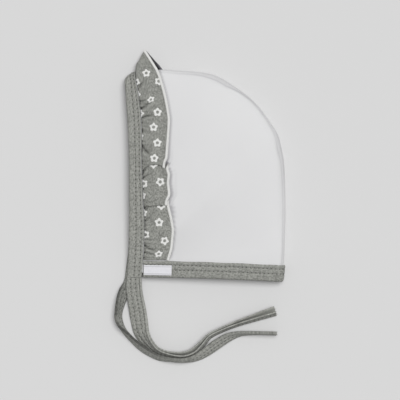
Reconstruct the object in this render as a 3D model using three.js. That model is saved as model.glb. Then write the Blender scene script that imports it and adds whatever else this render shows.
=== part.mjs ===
// A newborn's cotton bonnet lying on its side: two side panels joined by a curved crown seam, a folded
// binding round the face that runs on into two ties, a second binding round the neck, a gathered frill
// with a pale edging laid back over the crown, and a small bare woven label.
// Millimetres, +Z up. It lies on Z = 0 with the face opening towards -X and the crown towards +Y.
// Pieces are worked out from the chin corner, the point where the face and neck edges meet. The finished
// group is then moved so that its origin is under the middle of the bonnet, the ties left out.

import * as THREE from "three";

// Main sizes
const FACE_HEIGHT = 158.5; // chin corner to the top fold, along the face edge
const CROWN_DEPTH = 122.4; // face edge to the back of the head
const NECK_DROP = 3.5; // how much lower the neck edge lies at the back than at the chin
const CHIN_SHIFT = 1.5; // how far the lower layer's chin corner is pulled out from under the upper one

// Cloth
const PANEL_WALL = 1.2; // interlock jersey of the side panels
const LEAF_WALL = 1; // each leaf of a folded binding
const FRILL_WALL = 0.9;
const LABEL_WALL = 0.5;
const CLEARANCE = 0.3; // between one piece and the next

// Bindings, frill and label
const FACE_BAND_WIDTH = 11.4; // at the chin
const NECK_BAND_WIDTH = 13;
const PANEL_INSET = 3.9; // from a binding's folded edge to the cut edge of the panel inside it
const FRILL_WIDTH = 21;
const EDGING_WIDTH = 1.9;
const FRILL_RIPPLE = 1.1; // height of the gathers
const GATHERS = 10; // on each side of the head
const LABEL_LENGTH = 21;
const LABEL_WIDTH = 7.3;
const LABEL_RISE = 3.4; // from the neck edge up to the label's lower edge
const LABEL_START = 1; // from the face binding to the label

// How the bonnet lies
const SEAM_HEIGHT = 6.1; // of the crown seam above the table
const EDGE_ROLL = 4.2; // how far in from the outline the tight part of the fold reaches
const SOFT_ROLL = 34; // how far in the softer swelling reaches
const SOFT_SHARE = 0.68; // share of the swelling in the height of the upper panel
const CHIN_GAP = 0.6; // between the two layers of binding at the chin
const MOUTH_LIFT = 4.9; // extra height half way up the face opening
const NAPE_LIFT = 3.4; // extra height half way along the neck opening
const FOLD_HEIGHT = 10.3; // upper layer at the top fold
const NAPE_HEIGHT = 9.9; // upper layer at the back of the neck
const PEAK_FOLD = 1.4; // radius of the frill's fold at its peak
const FRILL_SLACK = 0.7; // more room between the frill and the panels away from its base
const ROLL_MARGIN = 2.4; // how much wider than the panels' own fold the frill passes round the seam

// Heights above or below a panel's middle surface
const SLOT_HALF = PANEL_WALL / 2 + CLEARANCE;
const BAND_HALF = SLOT_HALF + LEAF_WALL;
const FRILL_SEAT = SLOT_HALF + FRILL_WALL / 2;
const CHIN_HEIGHT = 3 * BAND_HALF + CHIN_GAP;

// The seam's outline seen from above, as shares of CROWN_DEPTH and FACE_HEIGHT
const OUTLINE = [
  { along: 0.0, up: 0.958 },
  { along: 0.03, up: 0.979 },
  { along: 0.06, up: 0.99 },
  { along: 0.11, up: 0.999 },
  { along: 0.22, up: 1.006 },
  { along: 0.34, up: 1.0 },
  { along: 0.46, up: 0.994 },
  { along: 0.56, up: 0.976 },
  { along: 0.65, up: 0.938 },
  { along: 0.76, up: 0.878 },
  { along: 0.835, up: 0.82 },
  { along: 0.899, up: 0.752 },
  { along: 0.948, up: 0.69 },
  { along: 0.979, up: 0.594 },
  { along: 0.989, up: 0.52 },
  { along: 0.9945, up: 0.37 },
  { along: 0.992, up: 0.22 },
  { along: 0.985, up: 0.08 },
];
// The face edge from the chin to the top fold. up: share of FACE_HEIGHT. inwards and wide: how far the edge
// lies in from the chin corner and how wide the binding shows, as shares of FACE_BAND_WIDTH.
const FACE_EDGE = [
  { up: 0.0, inwards: 0.0, wide: 1.0 },
  { up: 0.12, inwards: 0.13, wide: 1.02 },
  { up: 0.25, inwards: 0.17, wide: 1.04 },
  { up: 0.37, inwards: 0.18, wide: 0.97 },
  { up: 0.5, inwards: 0.18, wide: 0.89 },
  { up: 0.62, inwards: 0.16, wide: 0.87 },
  { up: 0.77, inwards: 0.07, wide: 0.93 },
  { up: 0.88, inwards: -0.05, wide: 0.89 },
  { up: 0.95, inwards: -0.1, wide: 0.82 },
  { up: 1.0, inwards: -0.1, wide: 0.72 },
];
const NECK_END = 0.972; // share of CROWN_DEPTH at which the neck edge folds back

// The frill's outer edge. base: share of the way from its lower end to the top fold. reach and lean: how far
// the edge lies from the gathered base along X and Y, as shares of FRILL_WIDTH, on the upper layer and, with
// under before them, on the lower one. rise: 1 where it lies on the crown, 0 at the height of its peak.
const FRILL_EDGE = [
  { base: 0.0, reach: 0.93, lean: 0.0, underReach: 0.94, underLean: 0.02, rise: 1 },
  { base: 0.06, reach: 1.03, lean: 0.0, underReach: 1.0, underLean: 0.03, rise: 1 },
  { base: 0.16, reach: 1.08, lean: 0.02, underReach: 1.0, underLean: 0.0, rise: 1 },
  { base: 0.23, reach: 1.01, lean: 0.0, underReach: 1.0, underLean: 0.0, rise: 1 },
  { base: 0.31, reach: 0.89, lean: 0.0, underReach: 1.0, underLean: 0.0, rise: 1 },
  { base: 0.36, reach: 0.99, lean: 0.0, underReach: 1.0, underLean: 0.0, rise: 1 },
  { base: 0.42, reach: 0.96, lean: 0.0, underReach: 1.0, underLean: 0.0, rise: 1 },
  { base: 0.48, reach: 0.99, lean: 0.0, underReach: 1.0, underLean: 0.0, rise: 1 },
  { base: 0.525, reach: 0.87, lean: 0.0, underReach: 1.0, underLean: 0.0, rise: 1 },
  { base: 0.6, reach: 0.92, lean: 0.0, underReach: 1.0, underLean: 0.05, rise: 1 },
  { base: 0.7, reach: 1.0, lean: 0.0, underReach: 1.0, underLean: 0.1, rise: 1 },
  { base: 0.77, reach: 1.04, lean: 0.02, underReach: 1.04, underLean: 0.15, rise: 1 },
  { base: 0.83, reach: 1.01, lean: 0.06, underReach: 1.05, underLean: 0.2, rise: 1 },
  { base: 0.88, reach: 0.97, lean: 0.14, underReach: 1.06, underLean: 0.28, rise: 1 },
  { base: 0.92, reach: 0.91, lean: 0.23, underReach: 1.04, underLean: 0.36, rise: 0.95 },
  { base: 0.955, reach: 0.83, lean: 0.33, underReach: 1.0, underLean: 0.44, rise: 0.85 },
  { base: 0.98, reach: 0.72, lean: 0.44, underReach: 0.9, underLean: 0.54, rise: 0.6 },
  { base: 1.0, reach: 0.56, lean: 0.6, underReach: 0.7, underLean: 0.64, rise: 0.35 },
];
const PEAK = { reach: 0.31, lean: 0.76, bulge: 0.07 }; // the frill's peak, from its base at the top fold

// The routes of the ties, from the chin corner. lift: height of the tie's lowest line above the table. tilt:
// degrees that the flat tie is turned about its own line, 0 flat and 90 on edge with its left side up.
const TIE_WALL = 2.4;
const NEAR_TIE = [
  { x: 5.9, y: -0.6, lift: 4.7, tilt: 0, width: 12 },
  { x: 5.5, y: -6, lift: 4.5, tilt: 0, width: 12.3 },
  { x: 6.4, y: -14, lift: 3.6, tilt: 2, width: 12.3 },
  { x: 8.2, y: -23, lift: 2, tilt: 6, width: 12.3 },
  { x: 10, y: -33, lift: 0.6, tilt: 12, width: 12 },
  { x: 12.6, y: -43.6, lift: 0, tilt: 28, width: 11.4 },
  { x: 17.4, y: -51.8, lift: 0, tilt: 50, width: 10.6 },
  { x: 24.4, y: -57.4, lift: 0, tilt: 64, width: 10 },
  { x: 34, y: -60.2, lift: 0, tilt: 68, width: 9.8 },
  { x: 44, y: -60.8, lift: 0, tilt: 67, width: 9.6 },
  { x: 52, y: -58, lift: 0, tilt: 66, width: 9.4 },
  { x: 58.6, y: -51.8, lift: 0, tilt: 68, width: 9.2 },
  { x: 64, y: -45.8, lift: 0, tilt: 70, width: 9 },
  { x: 72.2, y: -41.4, lift: 0, tilt: 71, width: 9 },
  { x: 85, y: -36.3, lift: 0, tilt: 69, width: 9 },
  { x: 98.6, y: -32, lift: 0, tilt: 63, width: 9 },
  { x: 115, y: -27, lift: 0, tilt: 56, width: 9.2 },
];
const FAR_TIE = [
  { x: 4, y: -2.2, lift: 0, tilt: 0, width: 9.4 },
  { x: 1.8, y: -6, lift: 0, tilt: -14, width: 9.8 },
  { x: -1.4, y: -11.4, lift: 0, tilt: -34, width: 10 },
  { x: -4.6, y: -19, lift: 0, tilt: -54, width: 10 },
  { x: -6.6, y: -26.5, lift: 0, tilt: -69, width: 9.8 },
  { x: -6.9, y: -31.5, lift: 0, tilt: -74, width: 9.8 },
  { x: -5.2, y: -36.6, lift: 0, tilt: -82, width: 9.6 },
  { x: -1.2, y: -43.1, lift: 0, tilt: -106, width: 9.2 },
  { x: 4.6, y: -49.4, lift: 0, tilt: -115, width: 9 },
  { x: 13, y: -56, lift: 0, tilt: -118, width: 9.2 },
  { x: 24.4, y: -62, lift: 0, tilt: -112, width: 9.4 },
  { x: 34, y: -64, lift: 0, tilt: -104, width: 9.6 },
  { x: 44, y: -64.6, lift: 0, tilt: -104, width: 9.6 },
  { x: 53, y: -62.6, lift: 0, tilt: -116, width: 9.2 },
  { x: 61.6, y: -57.6, lift: 0, tilt: -136, width: 9 },
  { x: 69.6, y: -52, lift: 0, tilt: -146, width: 9 },
  { x: 78.6, y: -46.4, lift: 0, tilt: -134, width: 9 },
  { x: 88, y: -43.6, lift: 0, tilt: -108, width: 9 },
  { x: 101, y: -43.1, lift: 0, tilt: -98, width: 9 },
  { x: 115.6, y: -43.4, lift: 0, tilt: -97, width: 9 },
];

// How finely the solids are cut
const RAYS = 26;
const RAY_CROWDING = 1.3; // how much closer the rays lie towards the face
const PANEL_RINGS = 15;
const BAND_STEPS = 26;
const NECK_STEPS = 17;
const ROLL_STEPS = 5;
const FRILL_STEPS = 44;
const FRILL_STRIPS = 4;
const TIE_STEPS = 44;
const TIE_SIDES = 10;
const OUTLINE_SAMPLES = 400;
const NUDGE = 1e-3; // step for a slope, as a share of a surface's own parameter

const clamp = THREE.MathUtils.clamp;
const lerp = THREE.MathUtils.lerp;
const smooth = THREE.MathUtils.smoothstep;

// Plan of the bonnet

const chinPole = new THREE.Vector2(PANEL_INSET, PANEL_INSET);
const neckCorner = new THREE.Vector2(NECK_END * CROWN_DEPTH, -NECK_DROP);
const outline = new THREE.SplineCurve([
  ...OUTLINE.map((row) => new THREE.Vector2(row.along * CROWN_DEPTH, row.up * FACE_HEIGHT)),
  neckCorner,
]).getPoints(OUTLINE_SAMPLES);

// The value that belongs to key in a list of [key, value] pairs whose keys rise.
function lookUp(pairs, key) {
  let high = pairs.findIndex((pair) => pair[0] >= key);
  if (high === -1) high = pairs.length - 1;
  if (high === 0) high = 1;
  const [lowKey, lowValue] = pairs[high - 1];
  const [highKey, highValue] = pairs[high];
  return lerp(lowValue, highValue, (key - lowKey) / (highKey - lowKey));
}

const rayPairs = outline
  .map((p) => [Math.atan2(p.y - chinPole.y, p.x - chinPole.x), p.distanceTo(chinPole)])
  .reverse();
const topPairs = outline.slice(0, OUTLINE_SAMPLES / 3).map((p) => [p.x, p.y]);
const backPairs = outline
  .slice(-OUTLINE_SAMPLES / 3)
  .map((p) => [p.y, p.x])
  .reverse();

const edgePairs = new THREE.SplineCurve(FACE_EDGE.map((row) => new THREE.Vector2(row.up, row.inwards)))
  .getPoints(OUTLINE_SAMPLES)
  .map((p) => [p.x * FACE_HEIGHT, p.y * FACE_BAND_WIDTH]);
const widePairs = FACE_EDGE.map((row) => [row.up * FACE_HEIGHT, row.wide]);
const faceEdge = (y) => lookUp(edgePairs, clamp(y, 0, FACE_HEIGHT));
const faceBandWide = (along) => lookUp(widePairs, Math.min(along, 4 - along, 1) * FACE_HEIGHT);
const neckEdge = (x) => -NECK_DROP * (x / neckCorner.x) ** 2;

// Distance from a point to the outline, along the line from the chin pole through it.
function insetOf(x, y) {
  const angle = Math.atan2(y - chinPole.y, x - chinPole.x);
  return lookUp(rayPairs, angle) - Math.hypot(x - chinPole.x, y - chinPole.y);
}

// Height of the upper and lower layers

function upperLevel(x, y) {
  const up = clamp(y / FACE_HEIGHT, 0, 1);
  const along = clamp(x / CROWN_DEPTH, 0, 1);
  const overFace = (FOLD_HEIGHT - CHIN_HEIGHT) * up + MOUTH_LIFT * Math.sin(Math.PI * up);
  const overNeck = (NAPE_HEIGHT - CHIN_HEIGHT) * along + NAPE_LIFT * Math.sin(Math.PI * along);
  return CHIN_HEIGHT + overFace + overNeck;
}

// The lower panel lies on the table, on its two bindings and over the frill laid back beneath it.
function lowerLevel(x, y) {
  const flat = PANEL_WALL / 2;
  const overBand = BAND_HALF - flat;
  const overFrill = FRILL_WALL + FRILL_RIPPLE + 2 * CLEARANCE;
  const ease = 4.5;
  const frillStart = FACE_BAND_WIDTH + 5;
  const frillEnd = frillStart + 1.15 * FRILL_WIDTH;
  const neckLeaf = NECK_BAND_WIDTH + 2;
  const pastBands = smooth(x, frillStart, frillStart + ease) * smooth(y, neckLeaf, neckLeaf + ease);
  const pastFrill = smooth(x, frillEnd, frillEnd + ease);
  return flat + overBand * (1 - pastBands) + overFrill * pastBands * (1 - pastFrill);
}

// 0 at the seam, 1 where the cloth has finished turning.
const quarterTurn = (inset, width) => Math.sqrt(1 - (1 - clamp(inset / width, 0, 1)) ** 2);

function layerHeight(x, y, inset, upper) {
  const tight = quarterTurn(inset, EDGE_ROLL);
  if (!upper) return SEAM_HEIGHT + (lowerLevel(x, y) - SEAM_HEIGHT) * tight;
  const bandEnd = FACE_BAND_WIDTH + 2;
  const pastFace = smooth(x, bandEnd, bandEnd + SOFT_ROLL);
  const pastNeck = smooth(y, NECK_BAND_WIDTH, NECK_BAND_WIDTH + SOFT_ROLL);
  const softness = SOFT_SHARE * pastFace * pastNeck;
  const turn = lerp(tight, quarterTurn(inset, SOFT_ROLL), softness);
  return SEAM_HEIGHT + (upperLevel(x, y) - SEAM_HEIGHT) * turn;
}

// Puts a point of either layer in space. The lower layer's chin corner is pulled out to the side.
function place(x, y, z, upper) {
  const nearChin = 1 - smooth(Math.hypot(x, y), 0, 2.6 * NECK_BAND_WIDTH);
  return new THREE.Vector3(upper ? x : x - CHIN_SHIFT * nearChin, y, z);
}

// The skin round an opening, from the upper chin corner (0), to the fold (1 to 3) and back to the lower one (4).
// across is the distance in from the opening's edge.
function skinRound(across, along, edgeAt) {
  const upper = along <= 2;
  const fromChin = Math.min(along, 4 - along);
  const turn = clamp(2 - fromChin, 0, 1) * (Math.PI / 2);
  const inset = fromChin <= 1 ? null : EDGE_ROLL * (1 - Math.cos(turn));
  return edgeAt(across, Math.min(fromChin, 1), inset, upper);
}

function faceSkin(across, along) {
  return skinRound(across, along, (a, share, rolled, upper) => {
    const top = lookUp(topPairs, a + edgePairs.at(-1)[1]);
    const y = rolled === null ? share * (top - EDGE_ROLL) : top - rolled;
    const x = faceEdge(y) + a;
    return place(x, y, layerHeight(x, y, top - y, upper), upper);
  });
}

function neckSkin(across, along) {
  return skinRound(across, along, (b, share, rolled, upper) => {
    const back = lookUp(backPairs, b - NECK_DROP);
    const x = rolled === null ? share * (back - EDGE_ROLL) : back - rolled;
    const y = neckEdge(x) + b;
    return place(x, y, layerHeight(x, y, back - x, upper), upper);
  });
}

// A point held off a skin along its outward normal.
function offSkin(skin, across, along, off, turnOver) {
  const here = skin(across, along);
  const reach = FACE_BAND_WIDTH * NUDGE;
  const sideways = skin(across + reach, along).sub(skin(across - reach, along));
  const onwards = skin(across, Math.min(along + NUDGE, 4)).sub(skin(across, Math.max(along - NUDGE, 0)));
  const out = sideways.cross(onwards).normalize();
  return here.addScaledVector(out, turnOver ? -off : off);
}

// Closed solids from grids and sections

function solidFrom(points, triangles) {
  const corner = (i) => points[i];
  const volume = triangles.reduce(
    (sum, [a, b, c]) => sum + corner(a).dot(new THREE.Vector3().crossVectors(corner(b), corner(c))),
    0,
  );
  const facing = volume < 0 ? triangles.map(([a, b, c]) => [a, c, b]) : triangles;
  const geometry = new THREE.BufferGeometry().setFromPoints(points);
  geometry.setIndex(facing.flat());
  geometry.computeVertexNormals();
  return geometry;
}

// A sheet of cloth: a grid of middle points, thickened evenly to both sides and closed round its rim.
function clothSolid(grid, wall) {
  const rows = grid.length;
  const columns = grid[0].length;
  const at = (i, j) => grid[clamp(i, 0, rows - 1)][clamp(j, 0, columns - 1)];
  const points = [];
  for (const side of [0.5, -0.5]) {
    for (let i = 0; i < rows; i++) {
      for (let j = 0; j < columns; j++) {
        const downGrid = at(i + 1, j).clone().sub(at(i - 1, j));
        const acrossGrid = at(i, j + 1).clone().sub(at(i, j - 1));
        const out = downGrid.cross(acrossGrid).normalize();
        points.push(grid[i][j].clone().addScaledVector(out, side * wall));
      }
    }
  }
  const top = (i, j) => i * columns + j;
  const under = (i, j) => rows * columns + i * columns + j;
  const triangles = [];
  const quad = (a, b, c, d) => triangles.push([a, b, c], [a, c, d]);
  for (let i = 0; i < rows - 1; i++) {
    for (let j = 0; j < columns - 1; j++) {
      quad(top(i, j), top(i + 1, j), top(i + 1, j + 1), top(i, j + 1));
      quad(under(i, j), under(i, j + 1), under(i + 1, j + 1), under(i + 1, j));
    }
    quad(top(i, 0), under(i, 0), under(i + 1, 0), top(i + 1, 0));
    quad(top(i, columns - 1), top(i + 1, columns - 1), under(i + 1, columns - 1), under(i, columns - 1));
  }
  for (let j = 0; j < columns - 1; j++) {
    quad(top(0, j), top(0, j + 1), under(0, j + 1), under(0, j));
    quad(top(rows - 1, j), under(rows - 1, j), under(rows - 1, j + 1), top(rows - 1, j + 1));
  }
  return solidFrom(points, triangles);
}

// A solid through a row of like sections, each a ring of points. profile is the ring's flat shape, for the caps.
function sweptSolid(sections, profile) {
  const sides = profile.length;
  const points = sections.flat();
  const triangles = [];
  for (let i = 0; i < sections.length - 1; i++) {
    for (let k = 0; k < sides; k++) {
      const a = i * sides + k;
      const b = i * sides + ((k + 1) % sides);
      triangles.push([a, b, b + sides], [a, b + sides, a + sides]);
    }
  }
  const last = (sections.length - 1) * sides;
  for (const [a, b, c] of THREE.ShapeUtils.triangulateShape(profile, [])) {
    triangles.push([a, c, b], [last + a, last + b, last + c]);
  }
  return solidFrom(points, triangles);
}

// Evenly spaced values from low to high, both included.
const spaced = (low, high, steps) => Array.from({ length: steps + 1 }, (_, i) => lerp(low, high, i / steps));

// Side panels

function sidePanel(upper) {
  const lowRay = Math.atan2(-NECK_DROP, neckCorner.x);
  const innerEnd = PANEL_INSET + CLEARANCE;
  const seamGap = CLEARANCE / 2 / EDGE_ROLL;
  const grid = spaced(0, 1, RAYS).map((share) => {
    const angle = lerp(Math.PI / 2, lowRay, (1 - share) ** RAY_CROWDING);
    const reach = lookUp(rayPairs, angle);
    const rolled = spaced(seamGap, Math.PI / 2, ROLL_STEPS).map((turn) => EDGE_ROLL * (1 - Math.cos(turn)));
    const flat = spaced(0, 1, PANEL_RINGS - ROLL_STEPS)
      .slice(1)
      .map((share) => lerp(EDGE_ROLL, reach - innerEnd, share));
    return [...rolled, ...flat].map((inset) => {
      const x = chinPole.x + (reach - inset) * Math.cos(angle);
      const y = chinPole.y + (reach - inset) * Math.sin(angle);
      return place(x, y, layerHeight(x, y, inset, upper), upper);
    });
  });
  return clothSolid(grid, PANEL_WALL);
}

// Bindings

// The section of a folded binding: two leaves and a round fold. x runs in from the fold, y is off the skin.
// knees are the distances at which the leaves may bend.
function bindingProfile(width, knees) {
  const fold = spaced(Math.PI / 2, (3 * Math.PI) / 2, 4).map(
    (angle) => new THREE.Vector2(BAND_HALF * (1 + Math.cos(angle)), BAND_HALF * Math.sin(angle)),
  );
  const corner = (x, y) => new THREE.Vector2(x, y);
  const inwards = [...knees, width];
  const outwards = [...inwards].reverse();
  return [
    corner(LEAF_WALL, SLOT_HALF),
    ...inwards.map((x) => corner(x, SLOT_HALF)),
    ...outwards.map((x) => corner(x, BAND_HALF)),
    ...fold,
    ...inwards.map((x) => corner(x, -BAND_HALF)),
    ...outwards.map((x) => corner(x, -SLOT_HALF)),
    corner(LEAF_WALL, -SLOT_HALF),
  ];
}

const beyondKnee = (x, width) => (x - PANEL_INSET) / (width - PANEL_INSET);

function binding(skin, width, wideAt, knees, start, end, steps, turnOver) {
  const stations = [
    ...spaced(start, 1, steps),
    ...spaced(1, 3, 2 * ROLL_STEPS).slice(1),
    ...spaced(3, end, steps).slice(1),
  ];
  const profile = bindingProfile(width, knees);
  const sections = stations.map((along) =>
    profile.map((p) => {
      const across = p.x <= PANEL_INSET ? p.x : lerp(PANEL_INSET, width * wideAt(along), beyondKnee(p.x, width));
      return offSkin(skin, across, along, p.y, turnOver);
    }),
  );
  return sweptSolid(sections, profile);
}

// Frill and its edging

const frillBase = (along) => FACE_BAND_WIDTH * faceBandWide(along) + 1.5 * CLEARANCE;
const frillStart = (NECK_BAND_WIDTH + 2 * CLEARANCE) / (lookUp(topPairs, frillBase(1)) - EDGE_ROLL);

function frillRow(share) {
  const high = Math.max(1, FRILL_EDGE.findIndex((row) => row.base >= share));
  const [a, b] = [FRILL_EDGE[high - 1], FRILL_EDGE[high]];
  const part = (share - a.base) / (b.base - a.base);
  return Object.fromEntries(Object.keys(a).map((key) => [key, lerp(a[key], b[key], part)]));
}

// Height of the frill where it lies on the upper panel or under the lower one, or null past the outline.
function frillRest(x, y, upper) {
  const inset = insetOf(x, y) + ROLL_MARGIN;
  if (inset <= 0) return null;
  const seat = FRILL_SEAT + FRILL_SLACK;
  return layerHeight(x, y, inset, upper) + (upper ? seat : -seat);
}

function frillPoint(along, across) {
  const upper = along <= 2;
  const fromChin = Math.min(along, 4 - along);
  const aboveTable = FRILL_WALL / 2 + CLEARANCE;
  const swell = FRILL_SLACK * Math.sin(Math.PI * Math.min(2 * across, 1)) * smooth(fromChin, 0.9, 1);
  const base = offSkin(faceSkin, frillBase(along), along, FRILL_SEAT + 2 * swell, false);
  if (fromChin >= 1) {
    const turn = (2 - fromChin) * (Math.PI / 2);
    const start = FRILL_EDGE.at(-1);
    const share = 1 - Math.cos(turn);
    const reach = lerp(PEAK.reach, upper ? start.reach : start.underReach, share);
    const lean = lerp(PEAK.lean, upper ? start.lean : start.underLean, share);
    const bulge = PEAK.bulge * (1 - share) * 4 * across * (1 - across);
    const tip = new THREE.Vector3(
      base.x + reach * FRILL_WIDTH,
      base.y + lean * FRILL_WIDTH,
      SEAM_HEIGHT + (upper ? 1 : -1) * PEAK_FOLD * Math.sin(turn),
    );
    const point = base.lerp(tip, across).sub(new THREE.Vector3(bulge * FRILL_WIDTH, 0, 0));
    const rest = across > 0 ? frillRest(point.x, point.y, upper) : null;
    if (rest === null) return point;
    const held = lerp(SEAM_HEIGHT, rest, Math.sin(turn));
    point.z = upper ? Math.max(point.z, held) : Math.max(aboveTable, Math.min(point.z, held));
    return point;
  }
  const share = clamp((fromChin - frillStart) / (1 - frillStart), 0, 1);
  const row = frillRow(share);
  const sideOfPeak = SEAM_HEIGHT + (upper ? PEAK_FOLD : -PEAK_FOLD);
  const x = base.x + (upper ? row.reach : row.underReach) * FRILL_WIDTH * across;
  const y = base.y + (upper ? row.lean : row.underLean) * FRILL_WIDTH * across;
  const lying = upper ? upperLevel(x, y) + FRILL_SEAT : aboveTable;
  const fromPeak = (row.rise - FRILL_EDGE.at(-1).rise) / (1 - FRILL_EDGE.at(-1).rise);
  const outer = lerp(sideOfPeak, lying, fromPeak);
  const wave = 0.5 - 0.5 * Math.cos(2 * Math.PI * GATHERS * share);
  const ripple = FRILL_RIPPLE * wave * smooth(across, 0, 0.6) * fromPeak;
  const straight = lerp(base.z, outer, across) + ripple;
  const rest = frillRest(x, y, upper);
  if (rest === null) return new THREE.Vector3(x, y, straight);
  const under = Math.max(aboveTable, Math.min(straight, rest));
  return new THREE.Vector3(x, y, upper ? Math.max(straight, rest + ripple) : under);
}

function frillSolid(from, to, strips) {
  const stations = [
    ...spaced(frillStart, 1, FRILL_STEPS),
    ...spaced(1, 3, 2 * ROLL_STEPS).slice(1),
    ...spaced(3, 4 - frillStart, FRILL_STEPS).slice(1),
  ];
  const grid = stations.map((along) => spaced(from, to, strips).map((across) => frillPoint(along, across)));
  return clothSolid(grid, FRILL_WALL);
}

// Label on the neck binding

function labelSolid() {
  const start = faceEdge(LABEL_WIDTH) + FACE_BAND_WIDTH + LABEL_START;
  const span = lookUp(backPairs, 0) - EDGE_ROLL;
  const off = BAND_HALF + CLEARANCE + LABEL_WALL / 2;
  const grid = spaced(start, start + LABEL_LENGTH, 8).map((x) =>
    spaced(LABEL_RISE, LABEL_RISE + LABEL_WIDTH, 2).map((b) => offSkin(neckSkin, b, x / span, off, true)),
  );
  return clothSolid(grid, LABEL_WALL);
}

// Ties

function tieSolid(route) {
  const middles = route.map(({ x, y, lift, tilt, width }) => {
    const turn = THREE.MathUtils.degToRad(tilt);
    const halfHeight = Math.hypot(Math.sin(turn) * width, Math.cos(turn) * TIE_WALL) / 2;
    return new THREE.Vector3(x, y, lift + CLEARANCE + halfHeight);
  });
  const line = new THREE.CatmullRomCurve3(middles);
  const profile = spaced(0, 2 * Math.PI, TIE_SIDES)
    .slice(0, TIE_SIDES)
    .map((angle) => new THREE.Vector2(Math.cos(angle), Math.sin(angle)));
  const up = new THREE.Vector3(0, 0, 1);
  const sections = spaced(0, 1, TIE_STEPS).map((share) => {
    const step = Math.min(Math.floor(share * (route.length - 1)), route.length - 2);
    const part = share * (route.length - 1) - step;
    const tilt = THREE.MathUtils.degToRad(lerp(route[step].tilt, route[step + 1].tilt, part));
    const width = lerp(route[step].width, route[step + 1].width, part);
    const middle = line.getPoint(share);
    const onwards = line.getTangent(share);
    const level = new THREE.Vector3().crossVectors(up, onwards).normalize();
    const above = new THREE.Vector3().crossVectors(onwards, level);
    const wide = level.clone().multiplyScalar(Math.cos(tilt)).addScaledVector(above, Math.sin(tilt));
    const thick = new THREE.Vector3().crossVectors(onwards, wide);
    return profile.map((p) =>
      middle
        .clone()
        .addScaledVector(wide, (p.x * width) / 2)
        .addScaledVector(thick, (p.y * TIE_WALL) / 2),
    );
  });
  return sweptSolid(sections, profile);
}

// The bonnet

const whiteJersey = new THREE.MeshStandardMaterial({ color: 0xe9eaec, roughness: 0.9, metalness: 0 });
const greyJersey = new THREE.MeshStandardMaterial({ color: 0x8d8e88, roughness: 0.9, metalness: 0 });
const printedJersey = new THREE.MeshStandardMaterial({ color: 0x868782, roughness: 0.9, metalness: 0 });
const edgingThread = new THREE.MeshStandardMaterial({ color: 0xf0f0ec, roughness: 0.85, metalness: 0 });
const labelWeave = new THREE.MeshStandardMaterial({ color: 0xf2f3f6, roughness: 0.6, metalness: 0 });

function named(name, geometry, material) {
  const mesh = new THREE.Mesh(geometry, material);
  mesh.name = name;
  return mesh;
}

const edgingFrom = 1 - EDGING_WIDTH / FRILL_WIDTH;
const neckStart =
  (faceEdge(NECK_BAND_WIDTH) + FACE_BAND_WIDTH * FACE_EDGE[1].wide + CLEARANCE) /
  (lookUp(backPairs, 0) - EDGE_ROLL);

const bonnet = new THREE.Group();
bonnet.add(
  named("side_panel_upper", sidePanel(true), whiteJersey),
  named("side_panel_lower", sidePanel(false), whiteJersey),
  named("face_binding", binding(faceSkin, FACE_BAND_WIDTH, faceBandWide, [PANEL_INSET], 0, 4, BAND_STEPS, false), greyJersey),
  named(
    "neck_binding",
    binding(neckSkin, NECK_BAND_WIDTH, () => 1, [], neckStart, 4 - neckStart, NECK_STEPS, true),
    greyJersey,
  ),
  named("frill", frillSolid(0, edgingFrom, FRILL_STRIPS), printedJersey),
  named("frill_edging", frillSolid(edgingFrom + (1.3 * CLEARANCE) / FRILL_WIDTH, 1, 1), edgingThread),
  named("label", labelSolid(), labelWeave),
);

const middle = new THREE.Box3().setFromObject(bonnet).getCenter(new THREE.Vector3());
bonnet.add(
  named("tie_near", tieSolid(NEAR_TIE), greyJersey),
  named("tie_far", tieSolid(FAR_TIE), greyJersey),
);
bonnet.position.set(-middle.x, -middle.y, 0);

const part = new THREE.Group();
part.add(bonnet);

export default part;
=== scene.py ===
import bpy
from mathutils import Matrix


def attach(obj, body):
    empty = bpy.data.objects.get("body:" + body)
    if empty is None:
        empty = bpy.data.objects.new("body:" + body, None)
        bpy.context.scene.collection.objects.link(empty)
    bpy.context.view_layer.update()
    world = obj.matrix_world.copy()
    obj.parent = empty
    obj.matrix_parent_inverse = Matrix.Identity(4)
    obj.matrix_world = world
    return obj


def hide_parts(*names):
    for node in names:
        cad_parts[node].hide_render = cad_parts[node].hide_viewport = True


bl_info = {
    "name": "Baby Bonnet",
    "version": (1, 0, 0),
    "blender": (4, 5, 0),
    "location": "3D View > Sidebar > Bonnet",
    "description": "Dresses a packed baby bonnet in knitted cloth, stitches, a printed frill and two ties",
    "category": "Object",
}

import math

import bpy
import numpy as np
from mathutils import Vector

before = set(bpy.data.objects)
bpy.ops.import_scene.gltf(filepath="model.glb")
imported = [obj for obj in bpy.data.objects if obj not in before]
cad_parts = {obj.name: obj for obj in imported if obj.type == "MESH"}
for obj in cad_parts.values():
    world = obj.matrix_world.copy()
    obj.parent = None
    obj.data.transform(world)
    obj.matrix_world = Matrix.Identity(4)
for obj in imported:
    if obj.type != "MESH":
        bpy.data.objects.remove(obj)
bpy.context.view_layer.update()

# Plan of the bonnet, in millimetres from the chin corner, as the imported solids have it

MM = 0.001
CHIN = np.array([-60.399, -85.4915, 0])  # where the chin corner lies in the row frame
FACE_HEIGHT = 158.5
CROWN_DEPTH = 122.4
NECK_DROP = 3.5
NECK_END = 0.972
CHIN_SHIFT = 1.5
PANEL_WALL = 1.2
LEAF_WALL = 1.0
FRILL_WALL = 0.9
FRILL_LEAF = 0.65  # the frill as it shows, thinner than its solid
LABEL_WALL = 0.5
CLEARANCE = 0.3
FACE_BAND_WIDTH = 11.4
NECK_BAND_WIDTH = 13.0
PANEL_INSET = 3.9
FRILL_WIDTH = 21.0
EDGING_WIDTH = 1.9
FRILL_RIPPLE = 1.1
GATHERS = 10
LABEL_LENGTH = 21.0
LABEL_WIDTH = 7.3
LABEL_RISE = 3.4
LABEL_START = 1.0
SEAM_HEIGHT = 6.1
EDGE_ROLL = 4.2
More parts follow.
